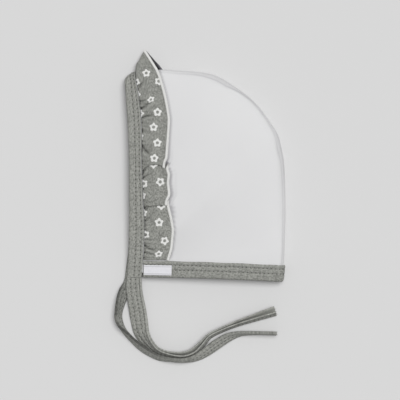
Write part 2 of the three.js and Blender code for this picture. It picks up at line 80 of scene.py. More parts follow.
SOFT_ROLL = 34.0
SOFT_SHARE = 0.68
CHIN_GAP = 0.6
MOUTH_LIFT = 4.9
NAPE_LIFT = 3.4
FOLD_HEIGHT = 10.3
NAPE_HEIGHT = 9.9
PEAK_FOLD = 1.4
FRILL_SLACK = 0.7
ROLL_MARGIN = 2.4
TIE_WALL = 2.4
SLOT_HALF = PANEL_WALL / 2 + CLEARANCE
BAND_HALF = SLOT_HALF + LEAF_WALL
THREAD_SINK = 0.12  # how deep a seam's thread lies in a binding
FRILL_SEAT = SLOT_HALF + FRILL_WALL / 2
CHIN_HEIGHT = 3 * BAND_HALF + CHIN_GAP

# The seam's outline: share of the depth, share of the height
OUTLINE = (
    (0.0, 0.958), (0.03, 0.979), (0.06, 0.99), (0.11, 0.999), (0.22, 1.006), (0.34, 1.0),
    (0.46, 0.994), (0.56, 0.976), (0.65, 0.938), (0.76, 0.878), (0.835, 0.82), (0.899, 0.752),
    (0.948, 0.69), (0.979, 0.594), (0.989, 0.52), (0.9945, 0.37), (0.992, 0.22), (0.985, 0.08),
)
# The face edge: share of the height, how far in, how wide the binding shows
FACE_EDGE = (
    (0, 0, 1), (0.12, 0.13, 1.02), (0.25, 0.17, 1.04), (0.37, 0.18, 0.97), (0.5, 0.18, 0.89),
    (0.62, 0.16, 0.87), (0.77, 0.07, 0.93), (0.88, -0.05, 0.89), (0.95, -0.1, 0.82), (1, -0.1, 0.72),
)
# The frill's outer edge: base, reach, lean, reach beneath, lean beneath, rise
FRILL_EDGE = (
    (0, 0.93, 0, 0.94, 0.02, 1), (0.06, 1.03, 0, 1, 0.03, 1), (0.16, 1.08, 0.02, 1, 0, 1),
    (0.23, 1.01, 0, 1, 0, 1), (0.31, 0.9, 0, 1, 0, 1), (0.36, 0.99, 0, 1, 0, 1),
    (0.42, 0.96, 0, 1, 0, 1), (0.47, 0.99, 0, 1, 0, 1), (0.5, 0.885, 0, 1, 0, 1),
    (0.53, 0.91, 0, 1, 0, 1), (0.6, 0.945, 0, 1, 0.05, 1), (0.7, 1, 0, 1, 0.1, 1),
    (0.77, 1.04, 0.02, 1.04, 0.15, 1), (0.83, 1.01, 0.06, 1.05, 0.2, 1), (0.88, 0.97, 0.14, 1.06, 0.28, 1),
    (0.92, 0.91, 0.23, 1.04, 0.36, 0.95), (0.955, 0.85, 0.33, 1, 0.44, 0.85),
    (0.98, 0.77, 0.44, 0.9, 0.54, 0.6), (1, 0.62, 0.6, 0.7, 0.64, 0.35),
)
PEAK_REACH = 0.34
PEAK_LEAN = 0.805
PEAK_BULGE = 0.05
# The ties: x, y, lift above the table, tilt in degrees, width
NEAR_TIE = (
    (5.9, -0.6, 4.7, 0, 12), (5.5, -6, 4.5, 0, 12.3), (6.2, -14, 3.6, 2, 12.5), (7.8, -23, 2, 6, 13),
    (9.3, -33, 0.6, 12, 13.4), (11.5, -43.6, 0, 24, 12.6), (17.4, -51.8, 0, 50, 10.8),
    (24.4, -57.4, 0, 64, 10), (34, -60.2, 0, 68, 9.8), (44, -60.8, 0, 67, 9.6), (52, -58, 0, 66, 9.4),
    (58.6, -51.8, 0, 68, 9.2), (64, -45.8, 0, 70, 9), (72.2, -41.4, 0, 71, 9), (85, -36.3, 0, 69, 9),
    (98.6, -32, 0, 63, 9), (115, -27, 0, 56, 9.2),
)
FAR_TIE = (
    (4, -2.2, 0, 0, 9.4), (1.8, -6, 0, -14, 9.8), (-1.4, -11.4, 0, -34, 10), (-4, -19, 0, -54, 10),
    (-5.8, -26.5, 0, -69, 9.8), (-6.1, -31.5, 0, -74, 9.8), (-4.6, -36.8, 0, -82, 9.6),
    (-0.4, -42.7, 0, -100, 9.2), (5.1, -48.8, 0, -107, 9), (13.2, -55.8, 0, -114, 9.2),
    (24.4, -62, 0, -112, 9.4), (34, -64, 0, -104, 9.6), (44, -64.6, 0, -104, 9.6),
    (53, -62.6, 0, -116, 9.2), (61.6, -57.6, 0, -136, 9), (69.6, -52, 0, -146, 9),
    (78.6, -46.4, 0, -134, 9), (88, -43.6, 0, -108, 9), (101, -43.1, 0, -98, 9),
    (115.6, -43.4, 0, -97, 9),
)
# Where each tie leaves its binding: x, height, width
NEAR_ROOT = (5.7, CHIN_HEIGHT, 11.4)
FAR_ROOT = (4.4, BAND_HALF, 11.6)
TIE_STRIP = 12.0  # width of a tie's section before it is fitted to the width that shows
TIE_ROWS = (3.8, 7.3)  # stitch rows from the folded edge, on a strip of that width
# How far a tie's two leaves stand apart, from its binding to its end, and how much it curls across
NEAR_OPENING = ((0, 0), (0.42, 0), (0.5, 0.8), (0.58, 1), (0.66, 0), (0.76, 0.1), (0.9, 1), (1, 1.9))
FAR_OPENING = ((0, 0), (0.1, 0.3), (0.21, 1.3), (0.3, 0.5), (0.5, 0), (0.64, 0.4), (0.8, 0), (1, 0.3))
NEAR_CURL = ((0, 0), (0.3, 0.01), (0.6, 0), (1, 0))
FAR_CURL = ((0, 0), (0.04, 0.02), (0.1, 0.055), (0.2, 0.05), (0.28, 0), (0.6, -0.03), (0.8, 0), (1, 0))

# What only shows: the crown seam, creases, flowers and stitch rows

# The seam's inset behind the outline: ray angle in degrees, millimetres
SEAM_INSET = (
    (-3, 1.4), (15, 1.6), (30, 2.2), (36, 3.0), (40, 3.8), (44, 3.0), (48, 1.6), (51, 1.4), (55, 1.2),
    (59, 1.8), (63, 3.6), (67, 3.6), (72, 2.7), (80, 2.3), (90, 1.5),
)
# Shade on the upper panel's rim: ray angle in degrees, along the seam, over the whole rim, and on the strip
# between the outline and the seam
SEAM_SHADE = (
    (-3, 0.3, 0.08, 0), (10, 0.3, 0.1, 0), (25, 0.3, 0.1, 0), (33, 0.2, 0.24, 0.06), (40, 0.35, 0.14, 0.22),
    (46, 0.2, 0.1, 0.2), (52, 0.4, 0.06, 0.14), (56, 0.5, 0.08, 0.16), (59, 0.5, 0.08, 0.24),
    (62, 0.45, 0.02, 0.32), (66, 0.45, 0.0, 0.34), (72, 0.4, 0.0, 0.24), (80, 0.2, 0.0, 0.1),
    (93, 0.1, 0.0, 0.05),
)
# Creases of the frill's upper side: start, middle and end as x, y, then depth and half width
CREASES = (
    (11.5, 129.4, 16.5, 133.0, 21.0, 136.4, 1.3, 1.1),
    (12.9, 122.4, 16.5, 123.9, 23.0, 124.2, 1.3, 0.9),
    (10.6, 146.1, 11.6, 148.4, 12.6, 150.6, 1.1, 0.9),
    (11.5, 135.2, 13.5, 135.6, 15.8, 136.6, 0.7, 0.8),
    (12.2, 100.9, 15.8, 96.6, 19.6, 93.2, 1.4, 1.2),
    (18.0, 64.6, 22.0, 64.0, 25.5, 64.2, 0.6, 1.0),
    (14.0, 43.6, 17.5, 45.6, 20.0, 48.2, 1.0, 0.9),
    (14.6, 31.6, 16.6, 33.0, 19.0, 33.6, 0.5, 0.9),
    (14.2, 24.4, 19.0, 21.8, 26.0, 21.5, 1.2, 1.0),
    (14.4, 19.4, 18.4, 18.0, 21.6, 17.9, 0.9, 0.9),
    (13.0, 112.6, 17.0, 112.0, 20.0, 110.4, 0.4, 1.2),
    (13.4, 76.8, 17.0, 78.6, 22.0, 80.0, 1.2, 0.8),
)
# Overlapping folds of the frill: height above the neck edge at base, middle and edge, and how the reach
# of the fold's upper and lower cloth differs at the edge
FOLDS = (
    (55.0, 57.2, 57.6, -0.06, 0.0),
    (83.6, 88.2, 85.8, -0.075, 0.075),
)
FOLD_OVERLAP = 1.5
TABLE_LIFT = 0.25  # below this height a tie is pressed flat
TABLE_GIVE = 0.15  # how much of its depth below that is left
PILE = 0.2  # the cloth's pile holds it this far off the floor
FOLD_KNEE = (31.0, 87.0)  # where the edging comes out from under the upper fold
# Flowers of the frill: x, y, size, turn in degrees, squash
FLOWERS = (
    (15.4, 156.8, 0.96, 95, 1), (19, 136.4, 0.92, 35, 0.72), (24.1, 126.7, 1.02, 88, 1),
    (21.1, 115.2, 1, 15, 1), (24, 103.2, 1.02, 88, 1), (21.7, 91.4, 1, 12, 1), (26.2, 73.4, 1.04, 48, 1),
    (25.3, 42.4, 1.04, 18, 1), (29.5, 28.3, 1.02, 62, 0.95), (24.9, 18.2, 1, 20, 0.72),
    (24.9, 150.4, 0.95, 70, 1), (7.6, 149.8, 0.92, 60, 1), (8.1, 140.4, 0.92, 0, 1),
    (10.6, 125.7, 0.95, 75, 1), (10.4, 108, 0.92, 90, 1), (13.5, 72, 1, 36, 1), (12.2, 63, 0.95, 20, 1),
    (13.1, 49.8, 0.95, 90, 1), (14.8, 33.1, 1, 36, 1),
)
# Those that a fold hides in part, with the height that each ends at
HIDDEN_FLOWERS = ((21, 86.9, 1, 270, 1, 88), (26.9, 55.3, 1, 272, 1, 57))
FLOWER_RADIUS = 3.55
NO_FLOWER = 3.0  # a place on the flower map where nothing is printed
FACE_ROWS = (5.6, 9.4)  # stitch rows, from the binding's folded edge
NECK_ROWS = (6.3, 10.1)
# Soft dents of the upper panel: x, y, radius, depth
DENTS = (
    (43.5, 67.4, 9, -0.35), (110.5, 45.8, 8, 0.35), (60, 120, 16, 0.4), (88, 84, 18, -0.4),
    (46, 36, 12, 0.35), (96, 24, 12, -0.35), (37, 104, 9, -0.3), (72, 58, 14, 0.3),
)


def look(keys, values, at):
    """Reads a rising table, carried on in a straight line past both ends."""
    at = np.asarray(at, float)
    first = (values[1] - values[0]) / (keys[1] - keys[0])
    last = (values[-1] - values[-2]) / (keys[-1] - keys[-2])
    found = np.interp(at, keys, values)
    found = np.where(at < keys[0], values[0] + (at - keys[0]) * first, found)
    return np.where(at > keys[-1], values[-1] + (at - keys[-1]) * last, found)


def catmull(points, count):
    """A smooth line through points, at count + 1 even steps of its parameter."""
    points = np.asarray(points, float)
    last = len(points) - 1
    t = np.linspace(0, last, count + 1)
    i = np.minimum(t.astype(int), last - 1)
    w = (t - i)[:, None]
    a = points[np.maximum(i - 1, 0)]
    b = points[i]
    c = points[i + 1]
    d = points[np.minimum(i + 2, last)]
    v = (c - a) / 2
    u = (d - b) / 2
    return (2 * b - 2 * c + v + u) * w**3 + (3 * c - 3 * b - 2 * v - u) * w**2 + v * w + b


def smooth(x, low, high):
    """A soft step from 0 at low to 1 at high."""
    t = np.clip((np.asarray(x, float) - low) / (high - low), 0, 1)
    return t * t * (3 - 2 * t)


def mixed(a, b, share):
    return a + (b - a) * share


def bump(x, centre, width):
    """A soft bump of height 1 round a centre."""
    return np.exp(-(((x - centre) / width) ** 2))


NECK_CORNER = (NECK_END * CROWN_DEPTH, -NECK_DROP)
POLE = (PANEL_INSET, PANEL_INSET)
OUT = catmull([(a * CROWN_DEPTH, u * FACE_HEIGHT) for a, u in OUTLINE] + [NECK_CORNER], 400)
RAY_ANGLE = np.arctan2(OUT[::-1, 1] - POLE[1], OUT[::-1, 0] - POLE[0])
RAY_REACH = np.hypot(OUT[::-1, 1] - POLE[1], OUT[::-1, 0] - POLE[0])
TOP_X, TOP_Y = OUT[:134, 0], OUT[:134, 1]
BACK_Y, BACK_X = OUT[:-135:-1, 1], OUT[:-135:-1, 0]
EDGE_LINE = catmull([(up, inwards) for up, inwards, wide in FACE_EDGE], 400)
EDGE_Y = EDGE_LINE[:, 0] * FACE_HEIGHT
EDGE_X = EDGE_LINE[:, 1] * FACE_BAND_WIDTH
WIDE_LINE = catmull([(up, wide) for up, inwards, wide in FACE_EDGE], 400)


def face_edge(y):
    return look(EDGE_Y, EDGE_X, np.clip(y, 0, FACE_HEIGHT))


def face_wide(along):
    """The share of its width that the face binding shows."""
    share = np.minimum(np.minimum(along, 4 - along), 1)
    return look(WIDE_LINE[:, 0], WIDE_LINE[:, 1], share)


def neck_edge(x):
    return -NECK_DROP * (np.asarray(x) / NECK_CORNER[0]) ** 2


def inset_of(x, y):
    angle = np.arctan2(y - POLE[1], x - POLE[0])
    return look(RAY_ANGLE, RAY_REACH, angle) - np.hypot(x - POLE[0], y - POLE[1])


def upper_level(x, y):
    up = np.clip(y / FACE_HEIGHT, 0, 1)
    along = np.clip(x / CROWN_DEPTH, 0, 1)
    over_face = (FOLD_HEIGHT - CHIN_HEIGHT) * up + MOUTH_LIFT * np.sin(np.pi * up)
    over_neck = (NAPE_HEIGHT - CHIN_HEIGHT) * along + NAPE_LIFT * np.sin(np.pi * along)
    return CHIN_HEIGHT + over_face + over_neck


def lower_level(x, y):
    flat = PANEL_WALL / 2
    over_band = BAND_HALF - flat
    over_frill = FRILL_WALL + FRILL_RIPPLE + 2 * CLEARANCE
    ease = 4.5
    start = FACE_BAND_WIDTH + 5
    end = start + 1.15 * FRILL_WIDTH
    leaf = NECK_BAND_WIDTH + 2
    past_bands = smooth(x, start, start + ease) * smooth(y, leaf, leaf + ease)
    past_frill = smooth(x, end, end + 4 * ease)
    return flat + over_band * (1 - past_bands) + over_frill * past_bands * (1 - past_frill)


def quarter_turn(inset, width):
    return np.sqrt(np.clip(1 - (1 - np.clip(inset / width, 0, 1)) ** 2, 0, 1))


def layer_height(x, y, inset, upper):
    tight = quarter_turn(inset, EDGE_ROLL)
    low = SEAM_HEIGHT + (lower_level(x, y) - SEAM_HEIGHT) * tight
    band_end = FACE_BAND_WIDTH + 2
    past_face = smooth(x, band_end, band_end + SOFT_ROLL)
    past_neck = smooth(y, NECK_BAND_WIDTH, NECK_BAND_WIDTH + SOFT_ROLL)
    turn = mixed(tight, quarter_turn(inset, SOFT_ROLL), SOFT_SHARE * past_face * past_neck)
    high = SEAM_HEIGHT + (upper_level(x, y) - SEAM_HEIGHT) * turn
    return np.where(upper, high, low)


def place(x, y, z, upper):
    near_chin = 1 - smooth(np.hypot(x, y), 0, 2.6 * NECK_BAND_WIDTH)
    shifted = np.where(upper, x, x - CHIN_SHIFT * near_chin)
    return np.stack(np.broadcast_arrays(shifted, y, z), -1)


def round_fold(along, fold):
    """How far a band has got along its edge, and how far that is from the fold. along runs from 0 at the
    chin to 1 before the fold, 2 in it, 3 after it and 4 back at the chin, on the lower layer."""
    from_chin = np.minimum(along, 4 - along)
    rolled = EDGE_ROLL * (1 - np.cos(np.clip(2 - from_chin, 0, 1) * np.pi / 2))
    way = np.where(from_chin <= 1, from_chin * (fold - EDGE_ROLL), fold - rolled)
    return way, fold - way


def face_skin(across, along):
    y, inset = round_fold(along, look(TOP_X, TOP_Y, across + EDGE_X[-1]))
    x = face_edge(y) + across
    return place(x, y, layer_height(x, y, inset, along <= 2), along <= 2)


def neck_skin(across, along):
    x, inset = round_fold(along, look(BACK_Y, BACK_X, across - NECK_DROP))
    y = neck_edge(x) + across
    return place(x, y, layer_height(x, y, inset, along <= 2), along <= 2)


def round_edge(start, straight, folded):
    """Places along a band from start, round its fold and back, with counts for its parts."""
    away = np.linspace(start, 1, straight)
    fold = np.linspace(1, 3, folded)[1:]
    return np.concatenate([away, fold, np.linspace(3, 4 - start, straight)[1:]])


BACK_SPAN = look(BACK_Y, BACK_X, 0) - EDGE_ROLL


def past_face_band(gap):
    """The place along the neck edge where the face binding lies a gap behind."""
    return (face_edge(NECK_BAND_WIDTH) + FACE_BAND_WIDTH * FACE_EDGE[1][2] + gap) / BACK_SPAN


def unit(rows):
    return rows / np.linalg.norm(rows, axis=-1, keepdims=True)


def off_skin(skin, across, along, off, turn_over=False):
    """A point held off a skin along its outward side."""
    across, along, off = np.broadcast_arrays(
        np.asarray(across, float), np.asarray(along, float), np.asarray(off, float)
    )
    reach = 0.02
    step = 0.002
    sideways = skin(across + reach, along) - skin(across - reach, along)
    onwards = skin(across, np.minimum(along + step, 4)) - skin(across, np.maximum(along - step, 0))
    out = np.cross(sideways, onwards)
    out = unit(out)
    return skin(across, along) + out * (-off if turn_over else off)[..., None]


# Frill

FRILL_TABLE = np.array(FRILL_EDGE)
FRILL_SHARES = np.linspace(0, 1, 801)


def softened(values, spread):
    """Values with their corners rounded over spread samples to each side."""
    weights = np.hanning(2 * spread + 1)
    padded = np.pad(values, spread, mode="reflect", reflect_type="odd")
    return np.convolve(padded, weights / weights.sum(), mode="valid")


def frill_column(k):
    return softened(np.interp(FRILL_SHARES, FRILL_TABLE[:, 0], FRILL_TABLE[:, k]), 12)


def frill_base(along):
    return FACE_BAND_WIDTH * face_wide(along) + 1.5 * CLEARANCE


FRILL_SOFT = [frill_column(k) for k in range(1, 6)]
FRILL_SPAN = look(TOP_X, TOP_Y, frill_base(1.0)) - EDGE_ROLL
FRILL_START = (NECK_BAND_WIDTH + 2 * CLEARANCE) / FRILL_SPAN


def frill_rest(x, y, upper):
    inset = inset_of(x, y) + ROLL_MARGIN
    seat = FRILL_SEAT + FRILL_SLACK
    rest = layer_height(x, y, inset, upper) + np.where(upper, seat, -seat)
    return np.where(inset > 0, rest, np.nan)


def near_line(x, y, points):
    """Distance from a smooth line, signed by side, and the share of the line that is nearest."""
    line = catmull(points, 16)
    nearest = np.full(np.shape(x), 1e9)
    signed = np.zeros(np.shape(x))
    share = np.zeros(np.shape(x))
    for i, (p, q) in enumerate(zip(line[:-1], line[1:])):
        run = q - p
        t = np.clip(((x - p[0]) * run[0] + (y - p[1]) * run[1]) / (run @ run), 0, 1)
        dx = x - p[0] - t * run[0]
        dy = y - p[1] - t * run[1]
        far = np.hypot(dx, dy)
        closer = far < nearest
        nearest = np.where(closer, far, nearest)
        signed = np.where(closer, np.sign(run[0] * dy - run[1] * dx) * far, signed)
        share = np.where(closer, (i + t) / len(line), share)
    return signed, share


def creases(x, y):
    """What the creases add to the height of the frill's upper side, and their painted shade, with painted
    highlight on their lips.
    """
    relief = np.zeros(np.shape(x))
    painted_shade = np.zeros(np.shape(x))
    for ax, ay, bx, by, cx, cy, depth, half in CREASES:
        signed, share = near_line(x, y, [(ax, ay), (bx, by), (cx, cy)])
        fade = smooth(share, -0.1, 0.05) * (1 - smooth(share, 0.45, 1.0) * 0.9)
        groove = bump(signed, 0, half)
        lip = bump(signed, -2 * half, 1.4 * half)
        relief += depth * fade * (0.8 * lip - groove)
        painted_shade += min(depth, 1.2) * fade * (0.5 * groove - 0.25 * lip)
    return relief, painted_shade


def fold_paths():
    """The way the cloth takes through a fold: distance up the frill, height, and which cloth it is."""
    half = FOLD_OVERLAP
    knees = [
        (-9, 0, 0), (-4, -0.1, 0), (half - 0.5, 0, 0), (half + 0.1, 0.42, 0.5), (half - 0.5, 0.8, 1),
        (0.4 - half, 0.8, 1), (-half - 0.1, 1.2, 1.5), (0.5 - half, 1.65, 2), (2.5, 1.8, 2), (7, 1.1, 2),
        (13, 0, 2),
    ]
    return catmull(knees, 90)


def frill_stations(count):
    """Places along the frill, on both sides and round the peak, each with its fold and its place in it."""
    path = fold_paths()
    rows = []

    def plain(start, end, steps):
        rows.extend((s, -1, 0, 0, 0) for s in np.linspace(start, end, steps))

    begin = FRILL_START
    for number, fold in enumerate(FOLDS):
        low = (fold[0] + path[0, 0]) / FRILL_SPAN
        high = (fold[0] + path[-1, 0]) / FRILL_SPAN
        plain(begin, low, max(3, int(count * (low - begin))))
        rows.pop()
        rows.extend((s, number, *p) for s, p in zip(np.linspace(low, high, len(path)), path))
        rows.pop()
        begin = high
    plain(begin, 1, int(count * (1 - begin)))
    rows.pop()
    plain(1, 3, 60)
    rows.pop()
    plain(3, 4 - FRILL_START, count)
    return np.array(rows)


def frill_cloth(stations, across):
    """The frill's middle surface with its folds, for a column of stations and a row of places across."""
    across = np.asarray(across, float)[None, :]
    along = stations[:, :1] + 0 * across
    lift = np.zeros(along.shape)
    reach = np.zeros(along.shape)
    distance, height, layer = (stations[:, k : k + 1] for k in (2, 3, 4))
    for number, (base, middle, edge, above, below) in enumerate(FOLDS):
        inside = (stations[:, 1] == number)[:, None]
        line = catmull([(0, base), (0.3, middle - 0.4), (0.7, middle), (1, edge)], 40)
        centre = np.interp(across, line[:, 0], line[:, 1])
        held = 0.35 + 0.65 * smooth(across, 0, 0.25)
        near = np.exp(-((distance / 6.0) ** 4))
        folded = (base + distance + (centre - base) * near) / FRILL_SPAN
        along = np.where(inside, folded * held + along * (1 - held), along)
        lift = np.where(inside, height * held, lift)
        share = smooth(layer, 0.3, 0.95)
        pushed = bump(distance, 0, 5) * mixed(below, above, share) * smooth(across, 0, 1)
        reach = np.where(inside, pushed, reach)
    return frill_point(along, across + 0 * along, lift, reach)


def past_edge(stations, x, y):
    """How far each place lies past the frill's edge, as some of its stations have it."""
    edge = frill_cloth(stations, [1.0])[:, 0]
    order = np.argsort(edge[:, 1])
    return x - np.interp(y, edge[order, 1], edge[order, 0])


def peak_shade(x, y):
    """How deep in the shade of the peak's near side each place of its far side lies."""
    stations = frill_stations(200)
    past = past_edge(stations[(stations[:, 0] > 0.8) & (stations[:, 0] <= 2)], x, y)
    return (1 - smooth(past, 1.4, 4.4)) * smooth(y, 135, 150)


def frill_painted_shade(stations, across, grid):
    """Painted shade on the frill's cloth, in creases, under the binding, under its folds and towards its
    edge, with painted highlight on the folds' ridges: for the wrong side, then for the printed side.
    """
    x, y = grid[..., 0], grid[..., 1]
    upper = (stations[:, 0] <= 2)[:, None]
    share = stations[:, :1] * 154.0
    gather = np.sin(share * 1.45 + 2 * np.sin(share * 0.3)) + 0.5 * np.sin(share * 2.6)
    width = FRILL_WIDTH * np.asarray(across)[None, :]
    # Painted shade where the frill's base runs under the binding, varying with the gathers, and fainter
    # beside it
    painted_shade = bump(width, 0, 1.1) * (0.62 + 0.24 * gather)
    painted_shade = painted_shade + 0.14 * gather * bump(width, 2.5, 2.2)
    # Painted shade towards the frill's outer edge, stronger higher up
    painted_shade = painted_shade + 0.22 * smooth(width, 13.5, 19.5) * (0.2 + 0.8 * smooth(y, 36, 60))
    painted_shade = painted_shade + np.where(upper, creases(x, y)[1], 0)
    distance, layer = stations[:, 2:3], stations[:, 4:5]
    # Painted shade on the lower cloth under a fold's edge, and painted highlight on the fold's ridge
    hidden = (layer < 0.4) * bump(np.maximum(-FOLD_OVERLAP - distance, 0), 0, 1)
    ridge = (layer > 1.2) * bump(distance, -FOLD_OVERLAP, 1.3)
    painted_shade = painted_shade + np.where(stations[:, 1:2] >= 0, 0.6 * hidden - 0.25 * ridge, 0)
    # The wrong side also takes painted shade from the peak's near side
    wrong_side = np.where(upper, painted_shade, painted_shade + 1.2 * peak_shade(x, y))
    return np.clip(wrong_side, -1, 1), np.clip(painted_shade, -1, 1)


def frill_point(along, across, lift=0, more_reach=0):
    """The frill's middle surface. along runs as round the face edge, across from its base to its edge."""
    along, across = np.broadcast_arrays(np.asarray(along, float), np.asarray(across, float))
    upper = along <= 2
    from_chin = np.minimum(along, 4 - along)
    swell = FRILL_SLACK * np.sin(np.pi * np.minimum(2 * across, 1)) * smooth(from_chin, 0.9, 1)
    base = off_skin(face_skin, frill_base(along), along, FRILL_SEAT + 2 * swell)
    share = np.clip((from_chin - FRILL_START) / (1 - FRILL_START), 0, 1)
    reach, lean, reach_under, lean_under, rise = [np.interp(share, FRILL_SHARES, c) for c in FRILL_SOFT]
    reach = np.where(upper, reach + more_reach, reach_under)
    lean = np.where(upper, lean, lean_under)
    end_rise = FRILL_TABLE[-1, 5]
    from_peak = (rise - end_rise) / (1 - end_rise)
    side_of_peak = SEAM_HEIGHT + np.where(upper, PEAK_FOLD, -PEAK_FOLD)
    # along the sides
    x = base[..., 0] + reach * FRILL_WIDTH * across
    y = base[..., 1] + lean * FRILL_WIDTH * across
    flat = FRILL_WALL / 2 + CLEARANCE
    lying = np.where(upper, upper_level(x, y) + FRILL_SEAT, flat)
    outer = mixed(side_of_peak, lying, from_peak)
    wave = 0.5 - 0.5 * np.cos(2 * np.pi * GATHERS * share)
    ripple = FRILL_RIPPLE * wave * smooth(across, 0, 0.6) * from_peak * np.where(upper, 0.45, 1)
    straight = mixed(base[..., 2], outer, across) + ripple
    rest = frill_rest(x, y, upper)
    held = np.where(upper, np.fmax(straight, rest + ripple), np.maximum(flat, np.fmin(straight, rest)))
    spread = share * 231 + 2 * np.sin(share * 47)
    gather = np.sin(spread) + 0.6 * np.sin(share * 397 + 1.3 * np.sin(share * 91))
    fine = 0.26 * gather * (1 - smooth(across, 0.08, 0.6)) * from_peak
    puff = 0.9 * np.sin(np.pi * np.clip(across / 0.55, 0, 1)) * (0.6 + 0.4 * np.sin(share * 60)) * from_peak
    relief = creases(x, y)[0] + fine + puff
    relief = np.where(upper, relief, 0.5 * fine) * smooth(across, 0, 0.08)
    sides = np.stack([x, y, held + relief + lift], -1)
    # round the peak
    turn = np.clip(2 - from_chin, 0, 1) * np.pi / 2
    part = 1 - np.cos(turn)
    end = [np.where(upper, FRILL_TABLE[-1, k], FRILL_TABLE[-1, k + 2]) for k in (1, 2)]
    tip_x = base[..., 0] + mixed(PEAK_REACH, end[0], part) * FRILL_WIDTH
    tip_y = base[..., 1] + mixed(PEAK_LEAN, end[1], part) * FRILL_WIDTH
    tip_z = SEAM_HEIGHT + np.where(upper, 1, -1) * PEAK_FOLD * np.sin(turn)
    tip = np.stack([tip_x, tip_y, tip_z], -1)
    peak = mixed(base, tip, across[..., None])
    peak[..., 0] -= PEAK_BULGE * (1 - part) * 4 * across * (1 - across) * FRILL_WIDTH
    rest = frill_rest(peak[..., 0], peak[..., 1], upper)
    held = mixed(SEAM_HEIGHT, rest, np.sin(turn))
    held = np.where(upper, np.fmax(peak[..., 2], held), np.maximum(flat, np.fmin(peak[..., 2], held)))
    peak[..., 2] = np.where(across > 0, held, peak[..., 2])
    return np.where((from_chin >= 1)[..., None], peak, sides)


# Meshes

def in_frame(points):
    """Millimetres from the chin corner to metres in the row frame."""
    return (np.asarray(points, float) + CHIN) * MM


def points_of(mesh):
    """A mesh's points, in millimetres from the chin corner."""
    places = np.zeros(len(mesh.vertices) * 3)
    mesh.vertices.foreach_get("co", places)
    return places.reshape(-1, 3) / MM - CHIN


def point_numbers(mesh):
    """The number of the point at each corner of a mesh's faces."""
    numbers = np.zeros(len(mesh.loops), int)
    mesh.loops.foreach_get("vertex_index", numbers)
    return numbers


def put(name, data):
    """A new object in the scene, at the origin."""
    thing = bpy.data.objects.new(name, data)
    bpy.context.scene.collection.objects.link(thing)
    return thing


def give_painted_shade(mesh, deep):
    """Tells the finish how much painted shade each point has, from -1, a painted highlight, to 1."""
    layer = mesh.attributes.new("painted_shade", "FLOAT", "POINT")
    if deep is not None:
        layer.data.foreach_set("value", np.asarray(deep, np.float32).ravel())


def lattice(rows, columns, wrapped=False):
    """Quads of a grid of points, rows by columns, joined round if wrapped."""
    i = np.arange(rows - 1)[:, None]
    j = np.arange(columns if wrapped else columns - 1)[None, :]
    k = (j + 1) % columns
    corners = [i * columns + j, i * columns + k, (i + 1) * columns + k, (i + 1) * columns + j]
    return np.stack(np.broadcast_arrays(*corners), -1).reshape(-1, 4)


def make_piece(name, points, faces, material, cloth, caps=(), painted_shade=None):
    """A mesh object in the row frame. cloth holds each point's place on the flat cloth, in metres."""
    mesh = bpy.data.meshes.new(name)
    listed = [list(map(int, f)) for f in faces] + [list(map(int, c)) for c in caps]
    mesh.from_pydata(points.reshape(-1, 3).tolist(), [], listed)
    mesh.polygons.foreach_set("use_smooth", [True] * len(mesh.polygons))
    layer = mesh.uv_layers.new(name="cloth")
    layer.data.foreach_set("uv", cloth.reshape(-1, 2)[point_numbers(mesh)].astype(np.float32).ravel())
    give_painted_shade(mesh, painted_shade)
    mesh.materials.append(material)
    mesh.update()
    face_out(mesh)
    return put(name, mesh)


def face_out(mesh):
    """Turns a closed mesh's faces so that they point out of it."""
    mesh.calc_loop_triangles()
    corners = np.zeros(len(mesh.loop_triangles) * 3, int)
    mesh.loop_triangles.foreach_get("vertices", corners)
    a, b, c = points_of(mesh)[corners.reshape(-1, 3)].transpose(1, 0, 2)
    if np.einsum("ij,ij->i", a, np.cross(b, c)).sum() < 0:
        mesh.flip_normals()


def lengths_along(points):
    """Running length down the rows of a grid of points."""
    steps = np.linalg.norm(np.diff(points, axis=0), axis=-1)
    return np.concatenate([np.zeros((1,) + steps.shape[1:]), np.cumsum(steps, 0)])


def cloth_shell(name, grid, wall, material, rim=(1, 1, 1, 1), wrong_side=None, painted_shade=None):
    """A sheet of cloth thickened to both sides of a grid in millimetres, with its edges rounded off.
    rim says which edges are rounded: first row, last row, first column, last column. wrong_side is the
    finish of the side that rows crossed with columns point to. The painted shade is a pair, for that side
    and the other."""
    out = np.cross(np.gradient(grid, axis=0), np.gradient(grid, axis=1))
    out = unit(out)
    rows, columns = grid.shape[:2]
    run_down = lengths_along(grid)
    run_across = lengths_along(grid.transpose(1, 0, 2)).T
    near = np.full((rows, columns), 1e9)
    edges = (run_down, run_down[-1:] - run_down, run_across, run_across[:, -1:] - run_across)
    for wanted, edge in zip(rim, edges):
        if wanted:
            near = np.minimum(near, edge)
    half = wall / 2 * np.sqrt(np.clip(1 - (1 - np.clip(near / (wall / 2), 0, 1)) ** 2, 0.03, 1))
    both = np.stack([grid + out * half[..., None], grid - out * half[..., None]])
    faces = lattice(rows, columns)
    count = rows * columns
    numbers = np.arange(count).reshape(rows, columns)
    border = np.concatenate(
        [numbers[0], numbers[1:, -1], numbers[-1, -2::-1], numbers[-2:0:-1, 0]]
    )
    after = np.roll(border, -1)
    walls = np.stack([after, border, border + count, after + count], -1)
    flat = np.stack([run_across, run_down], -1) * MM
    listed = np.concatenate([faces, faces[:, ::-1] + count, walls])
    deep = None if painted_shade is None else np.stack(painted_shade)
    piece = make_piece(name, in_frame(both), listed, material, np.stack([flat, flat]), painted_shade=deep)
    if wrong_side:
        piece.data.materials.append(wrong_side)
        sides = np.zeros(len(piece.data.polygons), int)
        sides[: len(faces)] = 1
        piece.data.polygons.foreach_set("material_index", sides)
    return piece


